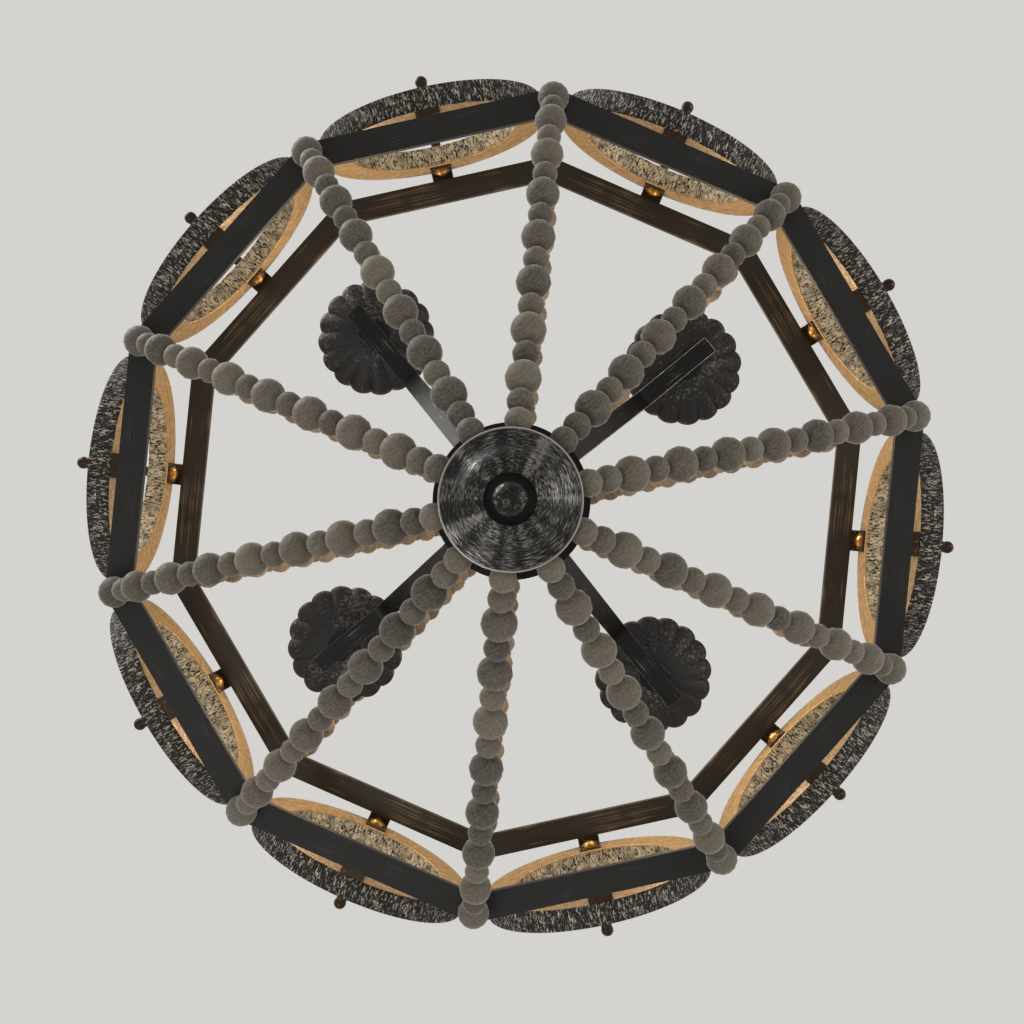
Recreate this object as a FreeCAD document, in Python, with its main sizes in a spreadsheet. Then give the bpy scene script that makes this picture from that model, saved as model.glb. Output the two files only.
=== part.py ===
import FreeCAD, Part
import math
import os
import Sketcher
from FreeCAD import Placement, Rotation, Vector

# A ten-sided drum chandelier that hangs on a short chain. Millimetres and degrees.
# The origin is where the crossbar meets the ceiling, on the fixture's axis; +Z is up.
# Heights named "above the frame" or "below the frame" count from the lower frame's underside.
# Side centres lie at 0, 36, 72 ... degrees, corners half-way between them, arms at 45, 135 ...

SIZES = {
    # ceiling canopy and crossbar
    "canopy_radius": 62.5,
    "canopy_depth": 28,
    "canopy_wall": 1.2,
    "canopy_edge_radius": 14,
    "crossbar_length": 104,
    "crossbar_width": 18,
    "crossbar_thickness": 2.5,
    "box_screw_spacing": 88.9,
    "box_screw_hole_radius": 2.4,
    # loops, collar ring and chain
    "loop_stem_radius": 5,
    "collar_radius": 10,
    "collar_height": 6,
    "turning_clearance": 0.05,
    "eye_radius": 11,
    "canopy_eye_neck": 4,
    "top_eye_neck": 12,
    "top_eye_neck_radius": 8,
    "chain_wire_radius": 2.5,
    "link_end_radius": 9,
    "link_straight": 18,
    "link_count": 3,
    "link_gap": 0.3,
    # the two frames
    "sides": 10,
    "frame_across_flats": 610,
    "frame_spacing": 193,
    "bar_width": 20.5,
    "bar_height": 6,
    # rings, brackets, screws and ball nuts
    "ring_radius": 94.5,
    "ring_bore_radius": 70,
    "ring_depth": 17.5,
    "ring_standoff": 7.2,
    "bracket_width": 19,
    "bracket_thickness": 2.5,
    "bracket_foot": 25.2,
    "bracket_leg": 21,
    "screw_above_foot": 11.25,
    "screw_radius": 2,
    "screw_clearance": 0.2,
    "screw_head_radius": 7,
    "screw_head_height": 4,
    "ball_nut_radius": 4.75,
    "ball_nut_reach": 12,
    "ball_nut_neck_radius": 4.2,
    # beads and wires
    "large_bead_radius": 12,
    "small_bead_radius": 9,
    "bead_flat_angle": 15,
    "bead_bore_radius": 1.9,
    "bead_gap": 0.15,
    "wire_radius": 1,
    "wire_clearance": 0.4,
    "stop_radius": 2.2,
    "stop_height": 3,
    # lower strands, from the lower frame's corners to the strand plate
    "lower_bead_inset": 11.4,
    "lower_start_slope": 58,
    "lower_start_reach": 78,
    "lower_end_slope": 46,
    "lower_end_reach": 80,
    # upper strands, from the upper frame's corners to the crown
    "upper_bead_inset": 20.7,
    "upper_start_slope": 76.5,
    "upper_start_reach": 95,
    "upper_end_radius": 61,
    "upper_end_slope": 56,
    "upper_end_reach": 90,
    # centre stem, crown, hub plate, strand plate
    "stem_radius": 5,
    "stem_bore_radius": 3.5,
    "stem_clearance": 0.1,
    "stem_in_loop": 8,
    "nut_across_flats": 14,
    "nut_height": 4,
    "crown_above_frame": 692,
    "crown_radius": 62,
    "plate_thickness": 3,
    "hub_below_frame": 168,
    "hub_radius": 50.5,
    "strand_plate_below_frame": 214,
    "strand_plate_thickness": 2,
    "strand_end_radius": 48.7,
    # arms
    "arm_count": 4,
    "arm_width": 14,
    "arm_thickness": 4,
    "arm_start": 14,
    "arm_foot_end": 36,
    "arm_knee": 134,
    "arm_end": 202,
    "arm_above_frame": 43,
    "arm_bend_radius": 10,
    "arm_screw_at": 24,
    "arm_screw_head_radius": 3.8,
    "arm_screw_head_height": 2.4,
    # pans, sockets, sleeves and bulbs
    "pan_at": 177,
    "disc_radius": 12,
    "disc_height": 3,
    "pan_radius": 48,
    "pan_depth": 16,
    "pan_wall": 1.4,
    "pan_lobes": 16,
    "pan_lobe_bulge": 4,
    "socket_radius": 9.3,
    "socket_height": 70,
    "socket_stub_radius": 4,
    "socket_bore_depth": 24,
    "bulb_base_radius": 6,
    "bulb_base_length": 23,
    "bulb_radius": 17.5,
    "bulb_glass_height": 80,
    "bulb_lift": 0.5,
    "sleeve_wall": 1.4,
    "sleeve_clearance": 0.2,
    # bottom bowl and finial
    "bowl_radius": 44,
    "bowl_depth": 24,
    "bowl_wall": 1.5,
    "bowl_rim_height": 6,
    "bowl_recess_radius": 15.9,
    "bowl_recess_depth": 6,
    "bowl_clearance": 0.3,
    "finial_ball_radius": 10.5,
    "finial_drop": 43,
    "finial_neck_radius": 6.5,
    "finial_gap": 0.3,
}

doc = FreeCAD.newDocument("beaded_ring_chandelier")
sheet = doc.addObject("Spreadsheet::Sheet", "sizes")
for row, (alias, value) in enumerate(SIZES.items(), start=1):
    sheet.set(f"A{row}", alias.replace("_", " "))
    sheet.set(f"B{row}", str(value))
    sheet.setAlias(f"B{row}", alias)
doc.recompute()


def size(alias):
    return float(sheet.get(alias))


def rule(text):
    """A formula on the sheet's cells: each word in braces is a cell."""
    return text.replace("{", "sizes.").replace("}", "")


UP = Vector(0, 0, 1)
ORIGIN = Vector(0, 0, 0)
SIDES = int(size("sides"))
SIDE_ANGLES = [360 / SIDES * side for side in range(SIDES)]
CORNER_ANGLES = [angle + 180 / SIDES for angle in SIDE_ANGLES]
ARMS = int(size("arm_count"))
ARM_ANGLES = [360 / ARMS * (arm + 0.5) for arm in range(ARMS)]

# Places that follow from the sizes, from the ceiling down.
WIRE = size("chain_wire_radius")
EYE_OUTER = size("eye_radius") + WIRE
LINK_RISE = 2 * WIRE + size("link_gap")
LINK_PITCH = size("link_straight") + 2 * size("link_end_radius") - LINK_RISE
COLLAR_Z = -size("canopy_depth") - size("collar_height")
CANOPY_EYE_Z = COLLAR_Z - size("canopy_eye_neck") - EYE_OUTER
FIRST_LINK_Z = CANOPY_EYE_Z - size("eye_radius") + LINK_RISE - size("link_end_radius")
TOP_EYE_Z = FIRST_LINK_Z - size("link_count") * LINK_PITCH + size("link_end_radius") - size("eye_radius")
CROWN_TOP_Z = TOP_EYE_Z - EYE_OUTER - size("top_eye_neck")
CROWN_Z = CROWN_TOP_Z - size("plate_thickness")
FRAME_Z = CROWN_Z - size("crown_above_frame")
FRAME_TOP_Z = FRAME_Z + size("bar_height")
UPPER_FRAME_Z = FRAME_Z + size("frame_spacing")
UPPER_FRAME_TOP_Z = UPPER_FRAME_Z + size("bar_height")
RING_Z = (FRAME_Z + UPPER_FRAME_TOP_Z) / 2
RING_FACE = size("frame_across_flats") / 2 + size("ring_standoff")
RING_BACK = RING_FACE + size("ring_depth")
SCREW_FROM_RING_CENTRE = RING_Z - FRAME_TOP_Z - size("screw_above_foot")
HUB_Z = FRAME_Z - size("hub_below_frame")
HUB_TOP_Z = HUB_Z + size("plate_thickness")
STRAND_PLATE_TOP_Z = FRAME_Z - size("strand_plate_below_frame")
STRAND_PLATE_Z = STRAND_PLATE_TOP_Z - size("strand_plate_thickness")
ARM_TOP_Z = FRAME_Z + size("arm_above_frame") + size("arm_thickness")
PAN_Z = ARM_TOP_Z + size("disc_height")
PAN_FLOOR_Z = PAN_Z + size("pan_wall")
SOCKET_TOP_Z = PAN_FLOOR_Z + size("socket_height")
FINIAL_Z = STRAND_PLATE_TOP_Z - size("finial_drop") + size("finial_ball_radius")

pieces = {}


def keep(label, thing):
    """Enters a sub-part under the name that a person would use for it."""
    thing.Label = label
    pieces[label] = thing
    return thing


def made_in_code(label, shape, placement=None):
    """A sub-part whose shape comes from a formula or an arc outline."""
    thing = doc.addObject("Part::Feature", label)
    thing.Shape = shape
    if placement:
        thing.Placement = placement
    return keep(label, thing)


def primitive(kind, name, base=ORIGIN, rotation=None, **bound):
    """A Part primitive whose sizes are bound to the sheet."""
    thing = doc.addObject(kind, name)
    for prop, text in bound.items():
        thing.setExpression(prop, rule(text))
    thing.Placement = Placement(base, rotation or Rotation())
    return thing


def combined(kind, name, first, *others):
    """A Part::Cut or Part::Fuse of one object with the others."""
    result = first
    for number, other in enumerate(others, start=1):
        step = doc.addObject(kind, name if number == len(others) else f"{name}_step_{number}")
        step.Base = result
        step.Tool = other
        result = step
    return result


def turned(shape, angle):
    copy = shape.copy()
    copy.rotate(ORIGIN, UP, angle)
    return copy


def turned_copies(label, shape, angles):
    """Identical loose pieces round the axis, in one node."""
    return made_in_code(label, Part.makeCompound([turned(shape, angle) for angle in angles]))


def turned_place(angle, radius, height):
    """The placement that swings a piece drawn on the X axis to its place round the axis."""
    turn = Rotation(UP, angle)
    return Placement(turn.multVec(Vector(radius, 0, height)), turn)


def lathe(edges):
    """A solid of revolution about Z from a closed outline in the XZ plane."""
    return Part.Face(Part.Wire(edges)).revolve(ORIGIN, UP, 360)


def flat(x, z):
    return Vector(x, 0, z)


def line(first, last):
    return Part.LineSegment(first, last).toShape()


def dome(radius, foot, rise):
    """A round head's outline from its edge to its crown on the axis; a negative rise domes downward."""
    ball = (radius ** 2 + rise ** 2) / (2 * rise)
    half = math.asin(radius / abs(ball)) / 2
    middle = flat(abs(ball) * math.sin(half), foot + rise - ball + ball * math.cos(half))
    return arc(flat(radius, foot), middle, flat(0, foot + rise))


def arc(first, middle, last):
    return Part.Arc(first, middle, last).toShape()


def new_body(name):
    return doc.addObject("PartDesign::Body", name)


def origin_feature(body, role):
    return next(item for item in body.Origin.OriginFeatures if item.Role == role)


def new_sketch(body, role, name):
    sketch = body.newObject("Sketcher::SketchObject", name)
    sketch.AttachmentSupport = [(origin_feature(body, role), "")]
    sketch.MapMode = "FlatFace"
    return sketch


def fix_point(sketch, geometry, end, x_text, y_text):
    """Ties one point of a sketch to the sheet, from the sketch's origin."""
    for kind, text in (("DistanceX", x_text), ("DistanceY", y_text)):
        number = sketch.addConstraint(Sketcher.Constraint(kind, -1, 1, geometry, end, 1.0))
        sketch.setExpression(f"Constraints[{number}]", rule(text))


def draw_polygon(sketch, corners):
    """A closed outline through corners given as pairs of formulas."""
    count = len(corners)
    rough = [Vector(100 * math.cos(6.28 * n / count), 100 * math.sin(6.28 * n / count), 0) for n in range(count)]
    for number in range(count):
        sketch.addGeometry(Part.LineSegment(rough[number], rough[(number + 1) % count]), False)
    for number in range(count):
        sketch.addConstraint(Sketcher.Constraint("Coincident", number, 2, (number + 1) % count, 1))
    for number, (x_text, y_text) in enumerate(corners):
        fix_point(sketch, number, 1, x_text, y_text)


def draw_circle(sketch, radius_text, x_text="0", y_text="0"):
    number = sketch.addGeometry(Part.Circle(ORIGIN, UP, 1.0), False)
    radius = sketch.addConstraint(Sketcher.Constraint("Radius", number, 1.0))
    sketch.setExpression(f"Constraints[{radius}]", rule(radius_text))
    fix_point(sketch, number, 3, x_text, y_text)


def add_pad(body, sketch, length_text):
    pad = body.newObject("PartDesign::Pad", sketch.Name + "_pad")
    pad.Profile = sketch
    pad.setExpression("Length", rule(length_text))
    doc.recompute()
    return pad


def add_pocket(body, sketch):
    """Cuts a sketch right through the body, towards the solid's side of its plane."""
    before = body.Shape.Volume
    pocket = body.newObject("PartDesign::Pocket", sketch.Name + "_pocket")
    pocket.Profile = sketch
    pocket.Type = 1
    pocket.Reversed = True
    doc.recompute()
    if body.Shape.Volume >= before:
        raise ValueError(f"{pocket.Name} cuts nothing")
    return pocket


def add_turns(body, feature, count_text):
    """Repeats a feature round the body's own Z axis."""
    turns = body.newObject("PartDesign::PolarPattern", feature.Name + "_turns")
    turns.Originals = [feature]
    turns.Axis = (origin_feature(body, "Z_Axis"), [""])
    turns.Angle = 360
    turns.setExpression("Occurrences", rule(count_text))
    body.Tip = turns
    doc.recompute()


# ---------------------------------------------------------------- ceiling canopy and crossbar

def make_crossbar():
    body = new_body("ceiling_crossbar")
    outline = new_sketch(body, "XY_Plane", "crossbar_outline")
    half_length = "{crossbar_length} / 2"
    half_width = "{crossbar_width} / 2"
    draw_polygon(outline, [(f"-{half_length}", f"-{half_width}"), (half_length, f"-{half_width}"),
                           (half_length, half_width), (f"-{half_length}", half_width)])
    add_pad(body, outline, "{crossbar_thickness}")
    holes = new_sketch(body, "XY_Plane", "crossbar_holes")
    draw_circle(holes, "{loop_stem_radius} + {stem_clearance}")
    draw_circle(holes, "{box_screw_hole_radius}", "{box_screw_spacing} / 2")
    draw_circle(holes, "{box_screw_hole_radius}", "-{box_screw_spacing} / 2")
    add_pocket(body, holes)
    body.Placement = Placement(flat(0, -size("crossbar_thickness")), Rotation())
    return keep("ceiling_crossbar", body)


def cup_outline(radius, depth, edge_radius):
    """Half outline of a round cup, mouth up at height 0, its foot edge rounded."""
    corner = radius - edge_radius
    share = edge_radius * math.sqrt(0.5)
    edges = [line(flat(0, 0), flat(radius, 0)), line(flat(radius, 0), flat(radius, edge_radius - depth))]
    edges.append(arc(flat(radius, edge_radius - depth), flat(corner + share, edge_radius - depth - share),
                     flat(corner, -depth)))
    edges.append(line(flat(corner, -depth), flat(0, -depth)))
    edges.append(line(flat(0, -depth), flat(0, 0)))
    return edges


def make_canopy():
    wall = size("canopy_wall")
    radius, depth, edge = size("canopy_radius"), size("canopy_depth"), size("canopy_edge_radius")
    shell = lathe(cup_outline(radius, depth, edge))
    hollow = lathe(cup_outline(radius - wall, depth - wall, edge - wall))
    hole = Part.makeCylinder(size("loop_stem_radius") + size("stem_clearance"), depth, flat(0, -depth))
    return made_in_code("canopy", shell.cut([hollow, hole]))


def make_canopy_loop():
    eye = primitive("Part::Torus", "canopy_eye", flat(0, CANOPY_EYE_Z), Rotation(Vector(1, 0, 0), 90),
                    Radius1="{eye_radius}", Radius2="{chain_wire_radius}")
    stem_foot = CANOPY_EYE_Z + size("eye_radius")
    stem = primitive("Part::Cylinder", "canopy_loop_stem", flat(0, stem_foot),
                     Radius="{loop_stem_radius}",
                     Height="{canopy_depth} + {collar_height} + {canopy_eye_neck} + {chain_wire_radius}")
    return keep("canopy_loop", combined("Part::Fuse", "canopy_loop", eye, stem))


def make_collar_ring():
    ring = primitive("Part::Cylinder", "collar_blank", flat(0, COLLAR_Z),
                     Radius="{collar_radius}", Height="{collar_height} - {turning_clearance}")
    bore = primitive("Part::Cylinder", "collar_bore", flat(0, COLLAR_Z),
                     Radius="{loop_stem_radius} + {turning_clearance}", Height="{collar_height}")
    return keep("collar_ring", combined("Part::Cut", "collar_ring", ring, bore))


# ---------------------------------------------------------------- chain

def make_link(number):
    """One oval link; odd links stand across the canopy loop, even links along it."""
    end, half = size("link_end_radius"), size("link_straight")
    path = Part.Wire([
        arc(flat(end, 0), flat(0, end), flat(-end, 0)),
        line(flat(-end, 0), flat(-end, -half)),
        arc(flat(-end, -half), flat(0, -half - end), flat(end, -half)),
        line(flat(end, -half), flat(end, 0)),
    ])
    section = Part.Wire([Part.Circle(flat(end, 0), UP, WIRE).toShape()])
    link = path.makePipeShell([section], True, False)
    turn = 90 if number % 2 else 0
    height = FIRST_LINK_Z - (number - 1) * LINK_PITCH
    made_in_code(f"chain_link_{number}", link, Placement(flat(0, height), Rotation(UP, turn)))


def make_top_loop():
    eye = primitive("Part::Torus", "top_eye", flat(0, TOP_EYE_Z), Rotation(Vector(1, 0, 0), 90),
                    Radius1="{eye_radius}", Radius2="{chain_wire_radius}")
    neck = primitive("Part::Cylinder", "top_loop_neck", flat(0, CROWN_TOP_Z),
                     Radius="{top_eye_neck_radius}", Height="{top_eye_neck} + {chain_wire_radius}")
    bore = primitive("Part::Cylinder", "top_loop_bore", flat(0, CROWN_TOP_Z),
                     Radius="{stem_radius} + {stem_clearance}", Height="{stem_in_loop}")
    loop = combined("Part::Fuse", "top_loop_blank", eye, neck)
    return keep("top_loop", combined("Part::Cut", "top_loop", loop, bore))


# ---------------------------------------------------------------- frames, rings and their fixings

def make_frame(label, height, hole_radius_text):
    """A decagon of flat bars, mitred and welded at the corners, with a wire hole in each corner."""
    body = new_body(label)
    outer = "{frame_across_flats} / 2"
    inner = "({frame_across_flats} / 2 - {bar_width})"
    tangent = "tan(180 deg / {sides})"
    bar = new_sketch(body, "XY_Plane", label + "_bar")
    draw_polygon(bar, [(inner, f"-{inner} * {tangent}"), (outer, f"-{outer} * {tangent}"),
                       (outer, f"{outer} * {tangent}"), (inner, f"{inner} * {tangent}")])
    pad = add_pad(body, bar, "{bar_height}")
    add_turns(body, pad, "{sides}")
    hole = new_sketch(body, "XY_Plane", label + "_wire_hole")
    draw_circle(hole, "{wire_radius} + {wire_clearance}", f"{hole_radius_text} * cos(180 deg / {{sides}})",
                f"{hole_radius_text} * sin(180 deg / {{sides}})")
    pocket = add_pocket(body, hole)
    add_turns(body, pocket, "{sides}")
    body.Placement = Placement(flat(0, height), Rotation())
    return keep(label, body)


def make_ring(number, angle):
    """An upright flat wooden ring on one side of the drum, drilled for its two screws."""
    body = new_body(f"ring_{number:02d}")
    face = new_sketch(body, "YZ_Plane", f"ring_{number:02d}_face")
    draw_circle(face, "{ring_radius}")
    draw_circle(face, "{ring_bore_radius}")
    add_pad(body, face, "{ring_depth}")
    holes = new_sketch(body, "YZ_Plane", f"ring_{number:02d}_screw_holes")
    offset = "(({frame_spacing} - {bar_height}) / 2 - {screw_above_foot})"
    for sign in ("", "-"):
        draw_circle(holes, "{screw_radius} + {screw_clearance}", "0", sign + offset)
    add_pocket(body, holes)
    body.Placement = turned_place(angle, RING_FACE, RING_Z)
    return keep(f"ring_{number:02d}", body)


def bracket_shape(up):
    """One L-bracket, drawn on the side at 0 degrees; up is 1 on the lower frame, -1 on the upper.

    Either foot lies on its frame's upper face, so the upper bracket's leg runs down past the bar.
    """
    seat = FRAME_TOP_Z if up > 0 else UPPER_FRAME_Z
    thick, width = size("bracket_thickness"), size("bracket_width")
    foot_z = seat if up > 0 else UPPER_FRAME_TOP_Z
    leg_z = seat if up > 0 else seat - size("bracket_leg")
    leg_top = seat + size("bracket_leg") if up > 0 else foot_z + thick
    foot = Part.makeBox(size("bracket_foot"), width, thick,
                        Vector(RING_FACE - size("bracket_foot"), -width / 2, foot_z))
    leg = Part.makeBox(thick, width, leg_top - leg_z, Vector(RING_FACE - thick, -width / 2, leg_z))
    hole = Part.makeCylinder(size("screw_radius") + size("screw_clearance"), 3 * thick,
                             flat(RING_FACE - 2 * thick, seat + up * size("screw_above_foot")), Vector(1, 0, 0))
    return foot.fuse(leg).cut(hole).removeSplitter()


def make_brackets():
    turned_copies("lower_ring_brackets", bracket_shape(1), SIDE_ANGLES)
    turned_copies("upper_ring_brackets", bracket_shape(-1), SIDE_ANGLES)


def radial_lathe(edges, radius, height):
    """A lathe piece drawn along Z, laid along the X axis with its zero at the given radius."""
    shape = lathe(edges)
    shape.Placement = Placement(flat(radius, height), Rotation(Vector(0, 1, 0), 90))
    return shape


def bracket_screw_shape(height):
    """A dome-headed screw; its shank runs outward through bracket and ring into the ball nut."""
    head, rise, shank = size("screw_head_radius"), size("screw_head_height"), size("screw_radius")
    length = size("bracket_thickness") + size("ring_depth") + size("ball_nut_reach") / 2
    edges = [
        line(flat(0, length), flat(shank, length)),
        line(flat(shank, length), flat(shank, 0)),
        line(flat(shank, 0), flat(head, 0)),
        dome(head, 0, -rise),
        line(flat(0, -rise), flat(0, length)),
    ]
    return radial_lathe(edges, RING_FACE - size("bracket_thickness"), height)


def ball_nut_shape(height):
    """A small ball on a neck, tapped from its foot."""
    ball, neck, reach = size("ball_nut_radius"), size("ball_nut_neck_radius"), size("ball_nut_reach")
    centre = reach - ball
    joint = centre - math.sqrt(ball ** 2 - neck ** 2)
    edges = [line(flat(0, 0), flat(neck, 0)), line(flat(neck, 0), flat(neck, joint))]
    edges.append(arc(flat(neck, joint), flat(ball, centre), flat(0, reach)))
    edges.append(line(flat(0, reach), flat(0, 0)))
    nut = radial_lathe(edges, RING_BACK, height)
    tapping = Part.makeCylinder(size("screw_radius") + size("turning_clearance"), reach / 2 + 0.5,
                                flat(RING_BACK, height), Vector(1, 0, 0))
    return nut.cut(tapping)


def make_ring_fixings():
    heights = (RING_Z - SCREW_FROM_RING_CENTRE, RING_Z + SCREW_FROM_RING_CENTRE)
    for label, shape in (("bracket_screws", bracket_screw_shape), ("ball_nuts", ball_nut_shape)):
        copies = [turned(shape(height), angle) for height in heights for angle in SIDE_ANGLES]
        made_in_code(label, Part.makeCompound(copies))


# ---------------------------------------------------------------- bead strands

def make_bead(name, radius_alias):
    """A round bead with a small flat at each end and a bore through."""
    flat_text = f"90 - {{bead_flat_angle}}"
    ball = primitive("Part::Sphere", name + "_ball", Radius=f"{{{radius_alias}}}",
                     Angle1=f"-({flat_text})", Angle2=flat_text)
    bore = primitive("Part::Cylinder", name + "_bore", flat(0, -size(radius_alias)),
                     Radius="{bead_bore_radius}", Height=f"2 * {{{radius_alias}}}")
    bead = combined("Part::Cut", name, ball, bore)
    doc.recompute()
    return bead.Shape


def bead_step(first, second):
    """Distance between the centres of two neighbours on a strand, flat to flat."""
    return (first + second) * math.cos(math.radians(size("bead_flat_angle"))) + size("bead_gap")


def hanging_curve(start, start_slope, start_reach, end, end_slope, end_reach):
    """The line of a strand in the XZ plane: a cubic with a given slope and reach at each end."""
    first, last = math.radians(start_slope), math.radians(end_slope)
    down = 1 if end.z > start.z else -1
    curve = Part.BezierCurve()
    curve.setPoles([
        start,
        start + flat(-math.cos(first), down * math.sin(first)) * start_reach,
        end - flat(-math.cos(last), down * math.sin(last)) * end_reach,
        end,
    ])
    return curve.toShape()


def bead_stations(length, first, second):
    """Radius of each bead and its distance along the strand.

    Two sizes take turns, the last bead is a small one, and the row is spread to fill the length.
    """
    small = size("small_bead_radius")
    row = [(first, 0)]
    while row[-1][1] < length:
        radius = second if len(row) % 2 else first
        row.append((radius, row[-1][1] + bead_step(row[-1][0], radius)))
    while row[-1][1] > length or row[-1][0] != small:
        row.pop()
    closing = row[-1][1] + bead_step(small, small)
    if closing <= length:
        row.append((small, closing))
    spread = length / row[-1][1]
    return [(radius, station * spread) for radius, station in row]


def strand_beads(curve, stations, beads):
    shapes = []
    for radius, station in stations:
        parameter = curve.getParameterByLength(station)
        bead = beads[radius].copy()
        bead.Placement = Placement(curve.valueAt(parameter), Rotation(UP, curve.tangentAt(parameter)))
        shapes.append(bead)
    return shapes


def strand_wire(curve, stations, before, after):
    """A round wire through the beads, with a crimped stop at each far end."""
    count = 2 * len(stations) - 2
    points = [curve.valueAt(curve.getParameterByLength(curve.Length * n / count)) for n in range(count + 1)]
    points = before + points + after
    path = Part.Wire([line(first, last) for first, last in zip(points, points[1:])])
    section = Part.Wire([Part.Circle(points[0], points[1] - points[0], size("wire_radius")).toShape()])
    wire = path.makePipeShell([section], True, False, 1)
    stops = []
    for end, inner in ((points[0], points[1]), (points[-1], points[-2])):
        direction = (inner - end).normalize()
        stops.append(Part.makeCylinder(size("stop_radius"), size("stop_height"), end, direction))
    return wire.fuse(stops).removeSplitter()


def make_lower_strands(beads):
    start = flat(LOWER_STRAND, FRAME_Z - size("large_bead_radius") - size("bead_gap"))
    end = flat(size("strand_end_radius"), STRAND_PLATE_TOP_Z + size("small_bead_radius"))
    curve = hanging_curve(start, size("lower_start_slope"), size("lower_start_reach"),
                          end, size("lower_end_slope"), size("lower_end_reach"))
    stations = bead_stations(curve.Length, size("large_bead_radius"), size("small_bead_radius"))
    row = strand_beads(curve, stations, beads)
    for number, angle in enumerate(CORNER_ANGLES, start=1):
        made_in_code(f"lower_strand_{number:02d}", Part.makeCompound([turned(bead, angle) for bead in row]))
    hole = flat(LOWER_HOLE, FRAME_TOP_Z)
    plate_hole = flat(STRAND_HOLE, STRAND_PLATE_TOP_Z)
    stop = size("stop_height")
    wire = strand_wire(curve, stations, [hole + flat(0, stop), flat(LOWER_HOLE, FRAME_Z)],
                       [plate_hole, flat(STRAND_HOLE, STRAND_PLATE_Z - stop)])
    turned_copies("lower_strand_wires", wire, CORNER_ANGLES)


def make_upper_strands(beads):
    start = flat(UPPER_STRAND, UPPER_FRAME_TOP_Z + size("small_bead_radius") + size("bead_gap"))
    end = flat(size("upper_end_radius"), CROWN_Z - size("small_bead_radius") - size("bead_gap"))
    curve = hanging_curve(start, size("upper_start_slope"), size("upper_start_reach"),
                          end, size("upper_end_slope"), size("upper_end_reach"))
    stations = bead_stations(curve.Length, size("small_bead_radius"), size("large_bead_radius"))
    row = strand_beads(curve, stations, beads)
    made_in_code("upper_strands", Part.makeCompound([turned(bead, angle) for angle in CORNER_ANGLES for bead in row]))
    stop = size("stop_height")
    wire = strand_wire(curve, stations, [flat(UPPER_HOLE, UPPER_FRAME_Z - stop), flat(UPPER_HOLE, UPPER_FRAME_TOP_Z)],
                       [flat(CROWN_HOLE, CROWN_Z), flat(CROWN_HOLE, CROWN_TOP_Z + stop)])
    turned_copies("upper_strand_wires", wire, CORNER_ANGLES)


# ---------------------------------------------------------------- centre stem and plates

def make_plate(label, height, radius_text, thickness_text, holes):
    """A round plate on the stem, with rings of small holes given as radius, place, first angle, count."""
    body = new_body(label)
    outline = new_sketch(body, "XY_Plane", label + "_outline")
    draw_circle(outline, radius_text)
    draw_circle(outline, "{stem_radius} + {stem_clearance}")
    add_pad(body, outline, thickness_text)
    for radius_text, place, angle, count_text in holes:
        hole = new_sketch(body, "XY_Plane", label + "_hole")
        x = place * math.cos(math.radians(angle))
        y = place * math.sin(math.radians(angle))
        draw_circle(hole, radius_text, f"{x} mm", f"{y} mm")
        pocket = add_pocket(body, hole)
        add_turns(body, pocket, count_text)
    body.Placement = Placement(flat(0, height), Rotation())
    return keep(label, body)


def make_plates():
    wire_hole = "{wire_radius} + {wire_clearance}"
    make_plate("crown", CROWN_Z, "{crown_radius}", "{plate_thickness}",
               [(wire_hole, CROWN_HOLE, CORNER_ANGLES[0], "{sides}")])
    make_plate("hub_plate", HUB_Z, "{hub_radius}", "{plate_thickness}",
               [("{screw_radius} + {turning_clearance}", size("arm_screw_at"), ARM_ANGLES[0], "{arm_count}")])
    make_plate("strand_plate", STRAND_PLATE_Z, "{bowl_radius} - {bowl_wall} - {bowl_clearance}",
               "{strand_plate_thickness}", [(wire_hole, STRAND_HOLE, CORNER_ANGLES[0], "{sides}")])


def make_stem():
    """A hollow threaded stem from the finial up into the top loop."""
    foot = FINIAL_Z + size("finial_gap")
    length = CROWN_TOP_Z + size("stem_in_loop") - size("finial_gap") - foot
    tube = Part.makeCylinder(size("stem_radius"), length, flat(0, foot))
    bore = Part.makeCylinder(size("stem_bore_radius"), length, flat(0, foot))
    return made_in_code("centre_stem", tube.cut(bore))


def make_stem_nuts():
    height = size("nut_height")
    nut = primitive("Part::Prism", "nut_blank", Height="{nut_height}",
                    Circumradius="{nut_across_flats} / 2 / cos(30 deg)")
    hole = primitive("Part::Cylinder", "nut_bore", Radius="{stem_radius} + {stem_clearance}", Height="{nut_height}")
    blank = combined("Part::Cut", "stem_nut", nut, hole)
    doc.recompute()
    copies = []
    for level in (CROWN_Z - height, HUB_TOP_Z, HUB_Z - height, STRAND_PLATE_TOP_Z):
        copy = blank.Shape.copy()
        copy.translate(flat(0, level))
        copies.append(copy)
    return made_in_code("stem_nuts", Part.makeCompound(copies))


# ---------------------------------------------------------------- arms, pans and lights

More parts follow.
